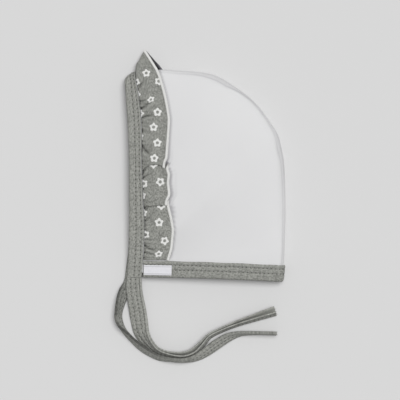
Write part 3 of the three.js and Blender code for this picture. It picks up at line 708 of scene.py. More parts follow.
def swept(name, sections, across, material, painted_shade):
    """A closed strip through like sections in millimetres. across is each section point's place on the
    cloth."""
    rows, columns = sections.shape[:2]
    faces = lattice(rows, columns, wrapped=True)
    caps = [range(columns - 1, -1, -1), range((rows - 1) * columns, rows * columns)]
    along = np.broadcast_to(lengths_along(sections.mean(1, keepdims=True)), (rows, columns))
    cloth = np.stack([along, np.broadcast_to(across, (rows, columns))], -1) * MM
    return make_piece(name, in_frame(sections), faces, material, cloth, caps, painted_shade)


TOP_POINTS = 26  # across one side of a folded strip
FOLD_POINTS = 13  # round its folded edge


def folded_profile(width, rows, wall=LEAF_WALL, slot=SLOT_HALF, puff=0.16):
    """The section of a folded strip: place across, which is its place on the cloth too, and height off its
    middle. It swells a little between its stitch rows, and its open edges are rounded."""
    top = slot + wall
    x = np.linspace(top, width - wall / 2, TOP_POINTS)
    swell = np.ones(len(x))
    for row in rows:
        swell *= 1 - bump(x, row, 0.75)
    height = top + puff * (2 * swell - 1) * smooth(x, top, top + 1.5)
    lip = np.radians([60, 30, 0, -30, -60])
    back = np.linspace(width - wall / 2, wall, 7)
    upper_x = np.concatenate([x, width - wall / 2 * (1 - np.cos(lip)), back])
    upper_y = np.concatenate([height, slot + wall / 2 * (1 + np.sin(lip)), np.full(7, slot)])
    fold = np.linspace(-np.pi / 2, -3 * np.pi / 2, FOLD_POINTS + 2)[1:-1]
    all_x = np.concatenate([upper_x, upper_x[::-1], top + top * np.cos(fold)])
    return all_x, np.concatenate([upper_y, -upper_y[::-1], top * np.sin(fold)])


# Node trees and materials

class Tree:
    """Adds nodes to a node tree. A node's inputs are numbers, colours or other nodes' outputs."""

    def __init__(self, tree):
        self.tree = tree

    def add(self, kind, inputs=None, **settings):
        node = self.tree.nodes.new(kind)
        for key, value in settings.items():
            setattr(node, key, value)
        for key, value in (inputs or {}).items():
            self.feed(node.inputs[key], value)
        return node

    def feed(self, socket, value):
        if isinstance(value, bpy.types.NodeSocket):
            self.tree.links.new(value, socket)
        else:
            socket.default_value = value


class Finish(Tree):
    """A material, built in plain steps"""

    def __init__(self, name):
        self.material = bpy.data.materials.new(name)
        self.material.use_nodes = True
        super().__init__(self.material.node_tree)
        self.tree.nodes.clear()
        self.shader = self.add("ShaderNodeBsdfPrincipled")
        self.add("ShaderNodeOutputMaterial", {"Surface": self.shader.outputs["BSDF"]})

    def cloth(self):
        return self.add("ShaderNodeUVMap", uv_map="cloth").outputs[0]

    def place(self):
        return self.add("ShaderNodeTexCoord").outputs["Object"]

    def math(self, operation, *values):
        return self.add("ShaderNodeMath", dict(enumerate(values)), operation=operation).outputs[0]

    def noise(self, vector, scale, detail=3.0, roughness=0.5):
        inputs = {"Vector": vector, "Scale": scale, "Detail": detail, "Roughness": roughness}
        return self.add("ShaderNodeTexNoise", inputs).outputs["Fac"]

    def mapped(self, vector, key, value):
        return self.add("ShaderNodeMapping", {"Vector": vector, key: value}).outputs[0]

    def split(self, vector):
        return self.add("ShaderNodeSeparateXYZ", {0: vector}).outputs

    def blend(self, factor, a, b, how="MIX"):
        node = self.add("ShaderNodeMix", {0: factor}, data_type="RGBA", blend_type=how)
        for socket, value in zip([s for s in node.inputs if s.type == "RGBA"], (a, b)):
            self.feed(socket, value)
        return [s for s in node.outputs if s.type == "RGBA"][0]

    def ramp(self, value, low, high):
        inputs = {"Value": value, "From Min": low, "From Max": high}
        return self.add("ShaderNodeMapRange", inputs, interpolation_type="SMOOTHSTEP").outputs["Result"]

    def line(self, value, centre, width):
        """1 on a line across the cloth, fading to both sides."""
        off = self.math("DIVIDE", self.math("SUBTRACT", value, centre), width)
        return self.math("EXPONENT", self.math("MULTIPLY", self.math("MULTIPLY", off, off), -1.0))

    def in_painted_shade(self, base, dimmed, light):
        """The base colour with painted shade: dimmed by a share for each of red, green and blue where a
        point's painted shade is above 0, and nearer to light, a painted highlight, where it is below 0."""
        deep = self.add("ShaderNodeAttribute", attribute_name="painted_shade").outputs["Fac"]
        lower = self.blend(self.ramp(deep, 0.0, 1.0), base, (*dimmed, 1.0), "MULTIPLY")
        return self.blend(self.ramp(self.math("MULTIPLY", deep, -1.0), 0.0, 1.0), lower, light)

    def relief(self, height, distance, strength):
        inputs = {"Height": height, "Distance": distance, "Strength": strength}
        self.feed(self.shader.inputs["Normal"], self.add("ShaderNodeBump", inputs).outputs["Normal"])

    def finish(self, base, roughness, sheen=0.1, sheen_roughness=0.4, specular=0.15):
        values = (base, roughness, sheen, sheen_roughness, specular)
        keys = ("Base Color", "Roughness", "Sheen Weight", "Sheen Roughness", "Specular IOR Level")
        for key, value in zip(keys, values):
            self.feed(self.shader.inputs[key], value)


def tinted(colour, factor):
    return tuple(min(1.0, c * factor) for c in colour[:3]) + (1.0,)


def knit_height(nodes, cloth, wale, course):
    """Height of plain knitted stitches. wale and course are their width and height in metres."""
    x, y = nodes.split(cloth)[:2]
    column = nodes.math("FRACT", nodes.math("DIVIDE", x, wale))
    side = nodes.math("ABSOLUTE", nodes.math("SUBTRACT", column, 0.5))
    leg = nodes.math("SINE", nodes.math("MULTIPLY", side, 2 * math.pi))
    row = nodes.math("SUBTRACT", nodes.math("DIVIDE", y, course), nodes.math("MULTIPLY", side, 1.1))
    loop = nodes.math("MULTIPLY_ADD", nodes.math("SINE", nodes.math("MULTIPLY", row, 2 * math.pi)), 0.5, 0.5)
    return nodes.math("MULTIPLY", leg, nodes.math("MULTIPLY_ADD", loop, 0.5, 0.5))


def fluffy(nodes, cloth, height, share, scale, hair_share):
    """Cloth height with fine loose fibres on it."""
    hair = nodes.noise(cloth, scale, 6.0, 0.7)
    return nodes.math("MULTIPLY_ADD", height, share, nodes.math("MULTIPLY", hair, hair_share))


def white_jersey(colour, wale, course):
    nodes = Finish("white_knit")
    cloth = nodes.cloth()
    knit = knit_height(nodes, cloth, wale, course)
    hair = nodes.noise(cloth, 1900, 6.0, 0.7)
    tone = nodes.math("MULTIPLY_ADD", knit, 0.25, nodes.math("MULTIPLY_ADD", hair, 0.4, 0.2))
    shade = nodes.blend(tone, tinted(colour, 0.955), tinted(colour, 1.0))
    broad = nodes.ramp(nodes.noise(nodes.place(), 26, 2.0), 0.3, 0.7)
    soft = nodes.blend(broad, shade, tinted(colour, 0.985))
    nodes.relief(fluffy(nodes, cloth, knit, 0.7, 1900, 0.5), 0.00016, 0.75)
    # Dimmed to grey by painted shade, and lighter with painted highlight, as each point has them
    nodes.finish(nodes.in_painted_shade(soft, (0.625, 0.62, 0.632), tinted(colour, 1.06)), 0.92, 0.12)


def marled(nodes, cloth, colour, strength):
    """The mottled grey of yarn spun from dark and pale fibres."""
    fibres = nodes.noise(nodes.mapped(cloth, "Scale", (1.0, 0.45, 1.0)), 2600, 3.0, 0.75)
    flecks = nodes.noise(nodes.mapped(cloth, "Scale", (1.0, 0.7, 1.0)), 900, 2.0, 0.6)
    clouds = nodes.noise(cloth, 190, 2.0, 0.5)
    mottle = nodes.math("MULTIPLY_ADD", fibres, 0.25, nodes.math("MULTIPLY", flecks, 0.6))
    spread = nodes.ramp(nodes.math("MULTIPLY_ADD", clouds, 0.15, mottle), 0.38, 0.62)
    return nodes.blend(spread, tinted(colour, 1 - strength), tinted(colour, 1 + strength))


def grey_jersey(name, colour, wale, course, rows):
    """Marled jersey with a shallow valley under each stitch row, and painted shade in those valleys and where
    the stitches dip.
    """
    nodes = Finish(name)
    cloth = nodes.cloth()
    turned = nodes.mapped(cloth, "Rotation", (0, 0, math.pi / 2))
    knit = knit_height(nodes, turned, wale, course)
    yarn = marled(nodes, turned, colour, 0.33)
    across = nodes.split(cloth)[1]
    valley = nodes.math("MULTIPLY", knit, 0.3)
    for row in rows:
        valley = nodes.math("SUBTRACT", valley, nodes.line(across, row * MM, 0.0007))
    # Painted shade in the stitch rows' valleys
    dark = nodes.blend(nodes.ramp(valley, -1.6, -0.2), tinted(colour, 0.72), yarn)
    # Painted shade where the knitted stitches dip
    knit_shaded = nodes.blend(nodes.ramp(knit, 0.1, 0.5), tinted(colour, 0.8), dark)
    even = nodes.blend(0.75, knit_shaded, dark)
    nodes.relief(fluffy(nodes, cloth, valley, 1.0, 2400, 0.5), 0.00022, 0.9)
    # Dimmed by painted shade, and lighter with painted highlight, as each point has them
    nodes.finish(nodes.in_painted_shade(even, (0.22,) * 3, tinted(colour, 1.5)), 0.93)


def printed_jersey(colour, flower, wale, course):
    """Marled jersey with a five-petal flower round each zero of the flower map."""
    nodes = Finish("printed_knit")
    cloth = nodes.cloth()
    knit = knit_height(nodes, cloth, wale, course)
    ground = marled(nodes, cloth, colour, 0.34)
    rough = nodes.noise(cloth, 900, 2.0, 0.6)
    u, v = nodes.split(nodes.add("ShaderNodeUVMap", uv_map="flower").outputs[0])[:2]
    far = nodes.math("SQRT", nodes.math("ADD", nodes.math("MULTIPLY", u, u), nodes.math("MULTIPLY", v, v)))
    petal_angle = nodes.math("MULTIPLY", nodes.math("ARCTAN2", v, u), 5.0)
    rim = nodes.math("MULTIPLY_ADD", nodes.math("COSINE", petal_angle), 0.13, 0.86)
    edge = nodes.math("SUBTRACT", rim, nodes.math("MULTIPLY_ADD", rough, 0.16, far))
    heart = nodes.ramp(nodes.math("MULTIPLY_ADD", rough, 0.1, far), 0.3, 0.42)
    mask = nodes.math("MULTIPLY", nodes.math("MULTIPLY", nodes.ramp(edge, -0.1, 0.02), heart), 0.95)
    # The ground and the flowers dimmed by painted shade, and lighter with painted highlight, as each point
    # has them
    shaded = nodes.in_painted_shade(ground, (0.16,) * 3, tinted(colour, 1.7))
    petal = nodes.in_painted_shade(nodes.blend(mask, shaded, flower), (0.72,) * 3, flower)
    nodes.relief(fluffy(nodes, cloth, knit, 0.7, 2200, 0.6), 0.00018, 0.8)
    nodes.finish(nodes.blend(mask, shaded, petal), 0.92)


def thread(name, colour):
    """Sewing thread: fine plies that wind round it."""
    nodes = Finish(name)
    inputs = {"Vector": nodes.place(), "Scale": 900, "Distortion": 1.5}
    plies = nodes.add("ShaderNodeTexWave", inputs, bands_direction="DIAGONAL").outputs["Fac"]
    shade = nodes.blend(plies, tinted(colour, 0.8), tinted(colour, 1.05))
    nodes.relief(plies, 0.00004, 0.6)
    # Dimmed by painted shade, as each point of the thread has it
    nodes.finish(nodes.in_painted_shade(shade, (0.15,) * 3, tinted(colour, 1.05)), 0.7, 0.05, 0.4, 0.3)


def wrong_side_knit(colour, wale, course):
    nodes = Finish("wrong_side_knit")
    cloth = nodes.cloth()
    yarn = marled(nodes, cloth, colour, 0.25)
    nodes.relief(knit_height(nodes, cloth, course, wale), 0.00018, 0.8)
    # Dimmed by painted shade, and lighter with painted highlight, as each point has them
    nodes.finish(nodes.in_painted_shade(yarn, (0.12,) * 3, tinted(colour, 1.3)), 0.93)


def grainy(name, colour, scale, detail, spread, roughness):
    """A plain dull surface with a slight grain."""
    nodes = Finish(name)
    grain = nodes.noise(nodes.place(), scale, detail)
    base = nodes.blend(grain, tinted(colour, spread[0]), tinted(colour, spread[1]))
    nodes.finish(base, roughness, 0.0, 0.5, 0.0)


def label_weave(colour, width):
    """Fine white tape with a thin grey line woven along each long edge."""
    nodes = Finish("woven_tape")
    cloth = nodes.cloth()
    across, y = nodes.split(cloth)[:2]
    picks = nodes.math("SINE", nodes.math("MULTIPLY", across, 2 * math.pi / 0.00028))
    ends = nodes.math("SINE", nodes.math("MULTIPLY", y, 2 * math.pi / 0.0004))
    weave = nodes.math("MULTIPLY_ADD", nodes.math("MULTIPLY", picks, ends), 0.5, 0.5)
    cloudy = nodes.math("MULTIPLY", nodes.noise(cloth, 350, 3.0, 0.6), 0.6)
    tone = nodes.math("MULTIPLY_ADD", weave, 0.4, cloudy)
    base = nodes.blend(tone, tinted(colour, 0.8), tinted(colour, 1.02))
    for inset in (0.0011, width - 0.0011):
        line = nodes.line(across, inset, 0.00022)
        base = nodes.blend(nodes.math("MULTIPLY", line, 0.6), base, tinted(colour, 0.3))
    nodes.relief(weave, 0.00006, 0.7)
    nodes.finish(base, 0.55, 0.05, 0.3, 0.4)


# Sizes and colours a user may change

def length_property(name, description, value):
    return bpy.props.FloatProperty(name=name, description=description, default=value, unit="LENGTH")


def colour_property(name, description, value):
    return bpy.props.FloatVectorProperty(
        name=name, description=description, default=(*value, 1.0), size=4, subtype="COLOR", min=0.0, max=1.0
    )


class BonnetCloth(bpy.types.PropertyGroup):
    wale: length_property("Stitch column", "Width of one column of knitting", 0.00085)
    course: length_property("Stitch row", "Height of one row of knitting", 0.0007)
    seam_depth: length_property("Seam depth", "Depth of the crown seam's groove", 0.00055)
    dent_depth: bpy.props.FloatProperty(
        name="Dents", description="Strength of the soft dents in the upper panel", default=1.0,
        subtype="FACTOR",
    )


class BonnetStitches(bpy.types.PropertyGroup):
    pitch: length_property("Pitch", "Length from one seam stitch to the next", 0.0032)
    length: length_property("Length", "Length of a seam stitch that shows", 0.0022)
    thickness: length_property("Thread", "Thickness of the sewing thread", 0.00036)
    hole: length_property("Needle hole", "Length of the dark dimple between two seam stitches", 0.0013)
    overlock_pitch: length_property("Edging pitch", "Length from one edging stitch to the next", 0.00062)
    overlock_thickness: length_property("Edging thread", "Thickness of the edging thread", 0.0005)


class BonnetColours(bpy.types.PropertyGroup):
    white: colour_property("White", "Jersey of the side panels", (0.762, 0.762, 0.768))
    grey: colour_property("Grey", "Mottled jersey of the bindings and ties", (0.31, 0.314, 0.29))
    ground: colour_property("Print ground", "Ground of the printed frill", (0.29, 0.294, 0.272))
    flower: colour_property("Flowers", "Small flowers printed on the frill", (0.86, 0.86, 0.84))
    edging: colour_property("Edging", "Thread of the frill's edge", (0.88, 0.88, 0.86))
    stitches: colour_property("Stitches", "Sewing thread of the bindings", (0.33, 0.33, 0.31))
    wrong_side: colour_property("Wrong side", "Inner side of the frill", (0.30, 0.29, 0.33))
    label: colour_property("Label", "Woven label", (0.84, 0.84, 0.88))
    floor: colour_property("Floor", "Surface that the bonnet lies on", (0.685, 0.685, 0.685))


class BonnetStage(bpy.types.PropertyGroup):
    view_width: length_property("View width", "Width that the camera takes in", 0.308)
    camera_height: length_property("Camera height", "Height of the camera above the floor", 1.3)
    sky: bpy.props.FloatProperty(name="Sky", description="Strength of the even light", default=0.28)
    lamp: bpy.props.FloatProperty(name="Lamp", description="Strength of the soft lamp overhead", default=2.34)
    lamp_spread: bpy.props.FloatProperty(
        name="Lamp spread", description="Angle that the soft lamp fills", default=0.6, subtype="ANGLE"
    )


def made(name):
    return bpy.data.materials[name]


def belongs(piece, node=None):
    """Ties a piece to the bonnet's body, and hides the solid that it takes the place of."""
    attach(piece, "root")
    if node:
        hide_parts(node)


# Seam stitches, made along lines by geometry nodes

STITCH_SIZES = ("Pitch", "Length", "Width", "Height", "Turn")


def stitch_tree():
    """Geometry nodes that lay small threads end to end along a line."""
    group = bpy.data.node_groups.new("stitch_row", "GeometryNodeTree")
    sockets = [("Geometry", "Geometry")]
    sockets += [(name, "Float") for name in STITCH_SIZES]
    sockets += [("Thread", "Material")]
    for name, kind in sockets:
        group.interface.new_socket(name=name, in_out="INPUT", socket_type="NodeSocket" + kind)
    group.interface.new_socket(name="Geometry", in_out="OUTPUT", socket_type="NodeSocketGeometry")
    nodes = Tree(group)
    given = nodes.add("NodeGroupInput").outputs
    curve = nodes.add("GeometryNodeMeshToCurve", {"Mesh": given["Geometry"]}).outputs["Curve"]
    inputs = {"Curve": curve, "Length": given["Pitch"]}
    spaced = nodes.add("GeometryNodeResampleCurve", inputs, mode="LENGTH")
    ball = nodes.add("GeometryNodeMeshUVSphere", {"Segments": 8, "Rings": 5, "Radius": 0.5})
    inputs = {"X": given["Length"], "Y": given["Width"], "Z": given["Height"]}
    size = nodes.add("ShaderNodeCombineXYZ", inputs)
    along = nodes.add("GeometryNodeInputTangent").outputs["Tangent"]
    facing = nodes.add("GeometryNodeInputNamedAttribute", {"Name": "facing"}, data_type="FLOAT_VECTOR")
    inputs = {"Primary Axis": along, "Secondary Axis": facing.outputs["Attribute"]}
    lengthways = nodes.add("FunctionNodeAxesToRotation", inputs, primary_axis="X", secondary_axis="Z")
    angle = nodes.add("ShaderNodeCombineXYZ", {"Z": given["Turn"]})
    own = nodes.add("FunctionNodeEulerToRotation", {"Euler": angle.outputs[0]})
    inputs = {"Rotation": lengthways.outputs["Rotation"], "Rotate By": own.outputs["Rotation"]}
    both = nodes.add("FunctionNodeRotateRotation", inputs, rotation_space="LOCAL")
    inputs = {
        "Points": spaced.outputs["Curve"], "Instance": ball.outputs["Mesh"],
        "Rotation": both.outputs["Rotation"], "Scale": size.outputs[0],
    }
    points = nodes.add("GeometryNodeInstanceOnPoints", inputs)
    real = nodes.add("GeometryNodeRealizeInstances", {"Geometry": points.outputs["Instances"]})
    inputs = {"Geometry": real.outputs["Geometry"], "Material": given["Thread"]}
    coat = nodes.add("GeometryNodeSetMaterial", inputs)
    nodes.add("NodeGroupOutput", {"Geometry": coat.outputs["Geometry"]})
    return group


def stitch_line(name, rows, material, pitch, size, turn=0.0):
    """Stitches along rows, as one plain mesh. A row is a line in the row frame and its ways out from the
    cloth. size is a stitch's length, width and height."""
    tree = bpy.data.node_groups.get("stitch_row") or stitch_tree()
    mesh = bpy.data.meshes.new(name)
    edges = []
    begin = 0
    for line, ways in rows:
        edges += [(begin + i, begin + i + 1) for i in range(len(line) - 1)]
        begin += len(line)
    mesh.from_pydata(np.concatenate([line for line, ways in rows]).tolist(), edges, [])
    facing = mesh.attributes.new("facing", "FLOAT_VECTOR", "POINT")
    facings = np.concatenate([ways for line, ways in rows])
    facing.data.foreach_set("vector", facings.astype(np.float32).ravel())
    holder = put(name + "_line", mesh)
    modifier = holder.modifiers.new("stitches", "NODES")
    modifier.node_group = tree
    sockets = {s.name: s.identifier for s in tree.interface.items_tree if s.in_out == "INPUT"}
    for key, value in zip(STITCH_SIZES, (pitch, *size, turn)):
        modifier[sockets[key]] = float(value)
    modifier[sockets["Thread"]] = material
    bpy.context.view_layer.update()
    grown = holder.evaluated_get(bpy.context.evaluated_depsgraph_get())
    plain = bpy.data.meshes.new_from_object(grown)
    plain.name = name
    holder.modifiers.remove(modifier)
    bpy.data.objects.remove(holder)
    plain.polygons.foreach_set("use_smooth", [True] * len(plain.polygons))
    return put(name, plain)


def row_on(skin, across, along, off, turn_over=False):
    """A row on a skin: a line in the row frame, and the way out from the cloth at each of its points."""
    low = off_skin(skin, across, along, off, turn_over)
    high = off_skin(skin, across, along, off + 1, turn_over)
    return in_frame(low), high - low


def trimmed(line, ways, cut):
    """A row without a length cut from each of its ends."""
    run = lengths_along(line)
    inside = run[(run > cut) & (run < run[-1] - cut)]
    stops = np.concatenate([[cut], inside, [run[-1] - cut]])
    return [np.stack([np.interp(stops, run, values[:, k]) for k in range(3)], 1) for values in (line, ways)]


def seam_rows(name, rows, sizes):
    """Rows of seam stitches, with dark marks between them as painted shade in the needle holes."""
    between = []
    for line, ways in rows:
        length = lengths_along(line)[-1]
        between.append(trimmed(line, ways, length / math.ceil(length / sizes.pitch) / 2))
    stitch = (sizes.length, sizes.thickness, sizes.thickness * 0.7)
    hole = (sizes.hole, sizes.hole * 0.62, sizes.hole * 0.3)
    return (
        stitch_line(name, rows, made("grey_thread"), sizes.pitch, stitch),
        stitch_line(name + "_holes", between, made("needle_hole_shade"), sizes.pitch, hole),
    )


# Ties

def tie_frames(route, root, steps):
    """Middle line and cross directions of a tie in millimetres, with its width at each step.
    root is where it leaves the binding: x, height and width."""
    table = np.array(route, float)
    table[0] = (root[0], 0.02, root[1] - CLEARANCE - TIE_WALL / 2, 0, root[2])
    turn = np.radians(table[:, 3])
    table[:, 2] += CLEARANCE + np.hypot(np.sin(turn) * table[:, 4], np.cos(turn) * TIE_WALL) / 2
    fine = catmull(table, steps)
    middle = fine[:, :3]
    onwards = unit(np.gradient(middle, axis=0))
    level = unit(np.cross([0.0, 0.0, 1.0], onwards))
    above = np.cross(onwards, level)
    tilt = np.radians(fine[:, 3])[:, None]
    wide = level * np.cos(tilt) + above * np.sin(tilt)
    thick = np.cross(onwards, wide)
    return middle, wide, thick, fine[:, 4]


def tie_piece(name, route, root, opening, curl, shaded, rimmed, sizes):
    """One folded tie with its stitch rows. opening and curl are read along it, shaded gives it painted shade,
    and rimmed gives its folded edge painted shade."""
    middle, wide, thick, width = tie_frames(route, root, 420)
    run = lengths_along(middle)
    share = run / run[-1]
    near = (1 - smooth(run, 0, 10))[:, None]
    apart = softened(np.interp(share, *np.array(opening).T), 12)[:, None]
    bend = softened(np.interp(share, *np.array(curl).T), 12)[:, None]
    x, y = folded_profile(TIE_STRIP, TIE_ROWS, 0.9, 0.2, 0.14)
    thicker = folded_profile(TIE_STRIP, TIE_ROWS, LEAF_WALL, SLOT_HALF)[1]
    side = (x - TIE_STRIP / 2) * (width / TIE_STRIP)[:, None]
    leaf = np.sign(y) * apart * (x / TIE_STRIP) ** 1.2
    lift = mixed(y + leaf, thicker, near) - bend * side**2
    sections = middle[:, None] + side[..., None] * wide[:, None] + lift[..., None] * thick[:, None]
    sections = off_table(sections)
    # Painted shade in the groove by the open edge and on the folded edge, painted highlight on the open
    # edge's lip
    painted_shade = 0.6 * bump(x, 10.3, 0.55) - 0.45 * bump(x, 11.5, 0.55) + 0.3 * (1 - smooth(x, 0, 1.6))
    # Painted highlight on the inner faces between the two leaves
    painted_shade = np.where((np.abs(y) < 0.25) & (x > 0.5), -0.5, painted_shade)
    # Painted shade along the tie and on its folded edge, as shaded and rimmed give it
    painted_shade = painted_shade + shaded(run)[:, None] * (1 - 0.75 * smooth(x, 3, 8))
    painted_shade = painted_shade + rimmed(run)[:, None] * (1 - smooth(x, 0.2, 1.2))
    piece = swept(name, sections, x, made("grey_knit_tie"), np.clip(painted_shade, -1, 1))
    rows = []
    for row in TIE_ROWS:
        nearest = int(np.argmin(np.abs(x[:TOP_POINTS] - row)))
        for face, column in ((1, nearest), (-1, len(x) - FOLD_POINTS - 1 - nearest)):
            rows.append((in_frame(sections[:, column] + 0.02 * face * thick), thick * face))
    return piece, seam_rows(name + "_stitches", rows, sizes), in_frame(middle)


def off_table(points):
    """Cloth that would sink into the table is pressed flat against it instead."""
    height = points[..., 2]
    pressed = TABLE_LIFT + TABLE_GIVE * (height - TABLE_LIFT)
    points[..., 2] = np.where(height < TABLE_LIFT, pressed, height)
    return points


def no_shade(run):
    return 0 * run


def shaded_loop(run):
    """The far tie's outer half lies in its own shade as it leaves the chin."""
    return 0.45 * smooth(run, 4, 12) * (1 - smooth(run, 26, 46))


def dark_rim(run):
    """Its folded edge turns away from the light where it runs under the near tie."""
    return 0.5 * smooth(run, 34, 42) * (1 - smooth(run, 60, 110))


# Operators, one for each piece

class BONNET_OT_finishes(bpy.types.Operator):
    """Makes the knitted, printed and woven finishes"""

    bl_idname = "bonnet.finishes"
    bl_label = "Finishes"

    def execute(self, context):
        cloth = context.scene.bonnet_cloth
        tints = context.scene.bonnet_colours
        knit = (cloth.wale, cloth.course)
        white_jersey(tints.white, *knit)
        grey_jersey("grey_knit_face", tints.grey, *knit, FACE_ROWS)
        grey_jersey("grey_knit_neck", tinted(tints.grey, 0.95), *knit, NECK_ROWS)
        grey_jersey("grey_knit_tie", tints.grey, *knit, TIE_ROWS)
        printed_jersey(tints.ground, tuple(tints.flower), *knit)
        wrong_side_knit(tints.wrong_side, *knit)
        thread("pale_thread", tints.edging)
        thread("grey_thread", tints.stitches)
        thread("lilac_thread", tints.wrong_side)
        thread("edging_roll", tinted(tints.edging, 0.72))
        # Painted shade in the needle holes between seam stitches
        grainy("needle_hole_shade", tinted(tints.grey, 0.3), 3000, 2.0, (0.7, 1.4), 1.0)
        grainy("pale_floor", tints.floor, 60, 3.0, (0.996, 1.004), 0.95)
        label_weave(tints.label, (LABEL_WIDTH + 0.5) * MM)
        return {"FINISHED"}


VIEW_CENTRE = Vector((-0.00385, -0.02595, 0.0))
VIEW_LEVEL = 0.008  # the height that the view's width holds at
SENSOR = 36.0
FLOOR_REACH = 4.0
LAMP_PLACE = Vector((0.31, 0.39, 2.0))


class BONNET_OT_stage(bpy.types.Operator):
    """Makes the camera, the floor and the soft light"""

    bl_idname = "bonnet.stage"
    bl_label = "Stage"

    def execute(self, context):
        stage = context.scene.bonnet_stage
        scene = context.scene
        scene.view_settings.view_transform = "Standard"
        lens = bpy.data.cameras.new("top_camera")
        lens.sensor_width = SENSOR
        lens.lens = SENSOR * (stage.camera_height - VIEW_LEVEL) / stage.view_width
        lens.clip_end = 20.0
        scene.camera = put("top_camera", lens)
        scene.camera.location = VIEW_CENTRE + Vector((0, 0, stage.camera_height))
        mesh = bpy.data.meshes.new("floor")
        ends = ((-1, -1), (1, -1), (1, 1), (-1, 1))
        corners = [(x * FLOOR_REACH, y * FLOOR_REACH, -PILE * MM) for x, y in ends]
        mesh.from_pydata(corners, [], [(0, 1, 2, 3)])
        mesh.materials.append(made("pale_floor"))
        put("floor", mesh)
        world = bpy.data.worlds.new("even_light")
        world.use_nodes = True
        sky = world.node_tree.nodes["Background"]
        sky.inputs["Color"].default_value = (1, 1, 1, 1)
        sky.inputs["Strength"].default_value = stage.sky
        scene.world = world
        lamp = bpy.data.lights.new("soft_lamp", "SUN")
        lamp.energy = stage.lamp
        lamp.angle = stage.lamp_spread
        holder = put("soft_lamp", lamp)
        holder.location = LAMP_PLACE
        holder.rotation_euler = (-LAMP_PLACE).to_track_quat("-Z", "Y").to_euler()
        return {"FINISHED"}


class BONNET_OT_ties(bpy.types.Operator):
    """Makes the two folded ties with their stitch rows"""

    bl_idname = "bonnet.ties"
    bl_label = "Ties"

    def execute(self, context):
        sizes = context.scene.bonnet_stitches
        near = (NEAR_TIE, NEAR_ROOT, NEAR_OPENING, NEAR_CURL, no_shade, no_shade)
        far = (FAR_TIE, FAR_ROOT, FAR_OPENING, FAR_CURL, shaded_loop, dark_rim)
        for node, plan in (("tie_near", near), ("tie_far", far)):
            piece, threads, path = tie_piece(node + "_cloth", *plan, sizes)
            belongs(piece, node)
            for part in threads:
                belongs(part)
        return {"FINISHED"}


def beside_frill(x, y):
    """Painted shade on the upper panel along the frill's edge, and the painted shade of two faint folds and a
    dip beside it, which the panel's shape does not have.
    """
    stations = frill_stations(200)
    past = past_edge(stations[(stations[:, 0] < 1) & (stations[:, 4] != 1)], x, y)
    pressed = smooth(y, 40, 52) * (1 - smooth(y, 92, 110))
    folds = 0.2 * bump(past, 1.6, 0.6) + 0.24 * bump(past - 0.8 * np.sin(y / 9.0), 4.4, 0.9)
    dip_shade = 0.36 * (1 - smooth(past, 2.5, 5.5)) * bump(y, 58, 12)
    shade = 0.75 * bump(past, 0.8, 1.1) + pressed * (folds + dip_shade + 0.16 * bump(past, 0, 3.5))
    return np.where(past < 12, shade, 0) * smooth(y, 12, 16)


def seam_and_dents(x, y, inset, angle, cloth):
    """How deep the crown seam and the soft dents lie in the upper panel, and the shade round the seam."""
    degrees = np.degrees(angle)
    away = inset - look(*np.array(SEAM_INSET).T, degrees)
    along, rim, strip = [look(*np.array(SEAM_SHADE).T[[0, k]], degrees) for k in (1, 2, 3)]
    shade = along * bump(away, 0, 0.8) + rim * (1 - smooth(inset, 4.0, 8.5))
    shade = shade + strip * (1 - smooth(away, -0.8, 0.4))
    tuck = 0.5 * bump(away, 0, 0.55) + 0.25 * bump(away, 1.5, 1.2)
    pucker = 1 + 0.18 * np.sin(angle * 190) * bump(away, 0, 2)
    depth = tuck * pucker * cloth.seam_depth / MM / 0.55
    clear = smooth(inset, 2, 10) * smooth(y, 16, 24) * smooth(x, 15, 22) * cloth.dent_depth
    for dent_x, dent_y, radius, height in DENTS:
        depth = depth - height * bump(x, dent_x, radius) * bump(y, dent_y, radius) * clear
    return depth, shade


class BONNET_OT_panels(bpy.types.Operator):
    """Makes the two side panels with the crown seam's groove"""

    bl_idname = "bonnet.panels"
    bl_label = "Side panels"

    def execute(self, context):
        low = math.atan2(-NECK_DROP, NECK_CORNER[0])
        share = np.linspace(0, 1, 190)[:, None]
        angle = mixed(math.pi / 2, low, (1 - share) ** 1.25)
        reach = look(RAY_ANGLE, RAY_REACH, angle)
        start = CLEARANCE / 2 / EDGE_ROLL
        rolled = EDGE_ROLL * (1 - np.cos(np.linspace(start, math.pi / 2, 14))) + 0 * share
        flat = np.linspace(0, 1, 78)[None, 1:]
        inset = np.concatenate([rolled, mixed(EDGE_ROLL, reach - PANEL_INSET - CLEARANCE, flat)], 1)
        x = POLE[0] + (reach - inset) * np.cos(angle)
        y = POLE[1] + (reach - inset) * np.sin(angle)
        depth, shade = seam_and_dents(x, y, inset, angle, context.scene.bonnet_cloth)
        shade = shade + beside_frill(x, y)
        for side, upper in (("upper", 1), ("lower", 0)):
            grid = place(x, y, layer_height(x, y, inset, upper) - upper * depth, upper)
            # Painted shade along the seam, on the rim and beside the frill, on the upper panel only
            painted_shade = (upper * shade, upper * shade)
            name = "panel_" + side + "_cloth"
            piece = cloth_shell(name, grid, PANEL_WALL, made("white_knit"), (0, 0, 0, 0), painted_shade=painted_shade)
            belongs(piece, "side_panel_" + side)
        return {"FINISHED"}


def band_painted_shade(x, width, stations):
    """A binding's open edge catches the light, and its folded edge turns away from it."""
    wander = 0.5 + 0.5 * np.sin(stations * 140 + 3 * np.sin(stations * 37))[:, None]
    lip = bump(x, width - 0.7, 0.5)
    return 0.25 * (1 - smooth(x, 0, 1.8)) - 0.5 * lip * (0.4 + 0.6 * wander)


